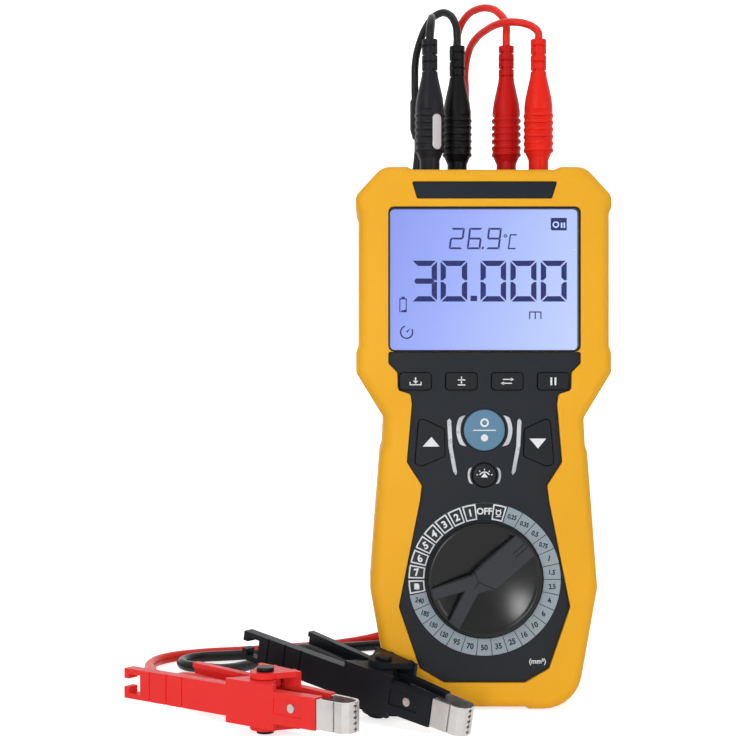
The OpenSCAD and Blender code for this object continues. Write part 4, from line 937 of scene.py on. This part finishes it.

# --- plug highlight: a painted highlight, a light strip on the grip of the outer black plug
PLUG_R = 6.3  # of a plug's grip
STRIPE_X, STRIPE_Y = -23.1, -7.0  # the plug's axis
STRIPE_Z0, STRIPE_Z1, STRIPE_END = 246.2, 261.8, 1.9  # bottom, top and the round ends' length
STRIPE_FIRST, STRIPE_TURN, STRIPE_STEPS = -82, 36, 8  # degrees round the plug
bm = bmesh.new()
columns = []
for i in range(STRIPE_STEPS + 1):
    a = math.radians(STRIPE_FIRST + STRIPE_TURN * i / STRIPE_STEPS)
    t = 2 * i / STRIPE_STEPS - 1
    end = STRIPE_END * (1 - math.sqrt(max(0.0, 1 - t * t)))
    z0, z1 = STRIPE_Z0 + end, STRIPE_Z1 - end
    section = ((PLUG_R - 0.3, z0), (PLUG_R + 0.7, z0), (PLUG_R + 0.7, z1), (PLUG_R - 0.3, z1))
    columns.append([bm.verts.new(((STRIPE_X + r * math.cos(a)) * MM,
        (STRIPE_Y + r * math.sin(a)) * MM, z * MM)) for r, z in section])
for a, b in zip(columns, columns[1:]):
    for k in range(3):
        bm.faces.new((a[k], b[k], b[k + 1], a[k + 1]))
add("plug_painted_highlight", mesh_of(bm, "plug_painted_highlight"), PLUG_HIGHLIGHT, "meter", 50)

# --- plugs: moulded rings round each grip
PLUG_SHOWN = 59.6  # length of a plug outside its socket
BANDS, BAND_FIRST, BAND_STEP = 6, 10.1, 3.1  # rings to a grip, and where they stand
BAND_TALL, BAND_PROUD, BAND_SINK = 1.6, 0.4, 0.3
BAND_SIDES, BAND_STEPS = 48, 6


def plug_rings(name, x, y, foot, material):
    """The rings of the plug that stands at (x, y) and comes out of its socket at foot."""
    bm = bmesh.new()
    around = [2 * math.pi * k / BAND_SIDES for k in range(BAND_SIDES)]
    half = BAND_TALL / 2
    for k in range(BANDS):
        z = foot + BAND_FIRST + BAND_STEP * k
        section = [(PLUG_R - BAND_SINK, z - half)]
        for i in range(BAND_STEPS + 1):
            t = math.pi * i / BAND_STEPS
            section.append((PLUG_R + BAND_PROUD * math.sin(t), z - half * math.cos(t)))
        section.append((PLUG_R - BAND_SINK, z + half))
        lathe(bm, [[bm.verts.new(((x + r * math.cos(a)) * MM, (y + r * math.sin(a)) * MM, h * MM))
            for a in around] for r, h in section])
    add(name, mesh_of(bm, name), material, "meter", 60)


# the inner plugs' rings take the darker copies too: painted shade
for node, material, slot in (("black_outer_plug", PLUGBLACK, "black_plastic"),
        ("black_inner_plug", PLUGBLACK_SHADE, "black_plastic"),
        ("red_inner_plug", PLUGRED_SHADE, "red_plastic"), ("red_outer_plug", PLUGRED, "red_plastic")):
    lo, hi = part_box(node)
    plug_rings(node + "_rings", (lo[0] + hi[0]) / 2 / MM, (lo[1] + hi[1]) / 2 / MM,
        hi[2] / MM - PLUG_SHOWN, material)

# ------------------------------------------------------------------ light and floor

WORLD_LIT, WORLD_SHOWN = 0.36, 1.0  # what the white surroundings light with, and show
FLOOR_SHOWN, WALL_SHOWN = 0.72, 1.0

world = bpy.data.worlds.new("studio")
scene.world = world
world.use_nodes = True


def seen(tree):
    """1 for rays that show the surface itself: to the camera, off metal and through glass."""
    path = tree.nodes.new("ShaderNodeLightPath")
    out = path.outputs["Is Camera Ray"]
    for other in ("Is Glossy Ray", "Is Transmission Ray"):
        m = tree.nodes.new("ShaderNodeMath")
        m.operation = "MAXIMUM"
        tree.links.new(out, m.inputs[0])
        tree.links.new(path.outputs[other], m.inputs[1])
        out = m.outputs[0]
    return out


def level(tree, lit, shown, target):
    """Sets a strength to lit for rays that light the object and to shown for the rest."""
    r = tree.nodes.new("ShaderNodeMapRange")
    r.inputs["To Min"].default_value = lit
    r.inputs["To Max"].default_value = shown
    tree.links.new(seen(tree), r.inputs["Value"])
    tree.links.new(r.outputs["Result"], target)


back = world.node_tree.nodes["Background"]
back.inputs["Color"].default_value = (1.0, 1.0, 1.0, 1.0)
level(world.node_tree, WORLD_LIT, WORLD_SHOWN, back.inputs["Strength"])


def area(name, at, size, power, aim=(0.0, 0.0, 0.13)):
    """A lamp in metres and watts, aimed at the meter's middle unless told otherwise."""
    d = bpy.data.lights.new(name, "AREA")
    d.shape = "RECTANGLE"
    d.size, d.size_y = size
    d.energy = power
    o = bpy.data.objects.new(name, d)
    scene.collection.objects.link(o)
    o.location = at
    o.rotation_euler = (Vector(aim) - Vector(at)).to_track_quat("-Z", "Y").to_euler()


area("key", (-0.70, -1.05, 0.80), (0.5, 0.5), 3.3)
area("fill", (0.80, -1.0, 0.32), (0.35, 0.7), 2.5)
area("top", (0.0, -0.1, 1.2), (0.9, 0.7), 2.6)
area("glint", (-0.20, -0.86, 0.12), (0.12, 0.18), 1.5, (0.0, 0.0, 0.057))

# Floor, bend and wall in metres: the floor's edges, where the bend starts, its radius, the
# wall's top, and the gap that keeps the floor clear of what stands on it
EDGE, BEND_Y, BEND_R, WALL_TOP, FLOOR_GAP = 3.0, 1.0, 0.6, 3.2, 0.0004
sweep = [(-EDGE, 0.0), (BEND_Y / 2, 0.0), (BEND_Y, 0.0)]
for a in range(10, 91, 10):
    a = math.radians(a)
    sweep.append((BEND_Y + BEND_R * math.sin(a), BEND_R - BEND_R * math.cos(a)))
sweep += [(BEND_Y + BEND_R, WALL_TOP / 2), (BEND_Y + BEND_R, WALL_TOP)]
bm = bmesh.new()
left, right = [[bm.verts.new((x, y, z)) for y, z in sweep] for x in (-EDGE, EDGE)]
for i in range(len(sweep) - 1):
    f = bm.faces.new((left[i], right[i], right[i + 1], left[i + 1]))
    f.smooth = True
    f.material_index = 0 if i < 2 else 1
floor_mesh = bpy.data.meshes.new("floor")
bm.to_mesh(floor_mesh)
bm.free()
floor = bpy.data.objects.new("floor", floor_mesh)
scene.collection.objects.link(floor)
floor.location = (0, 0, -FLOOR_GAP)
pale = [(0.3, (0.90, 0.90, 0.90)), (0.7, (0.92, 0.92, 0.92))]
for name, shown in (("floor_pale", FLOOR_SHOWN), ("wall_pale", WALL_SHOWN)):
    fmat = Mat(name)
    fmat.link(fmat.ramp(fmat.noise(3.0, 2.0), pale), "Base Color")
    fmat.set(Roughness=0.8, Emission_Color=(1.0, 1.0, 1.0, 1.0), Specular_IOR_Level=0.1)
    level(fmat.t, 0.0, shown, fmat.p.inputs["Emission Strength"])
    floor_mesh.materials.append(fmat.m)
scene.view_settings.view_transform = "Standard"
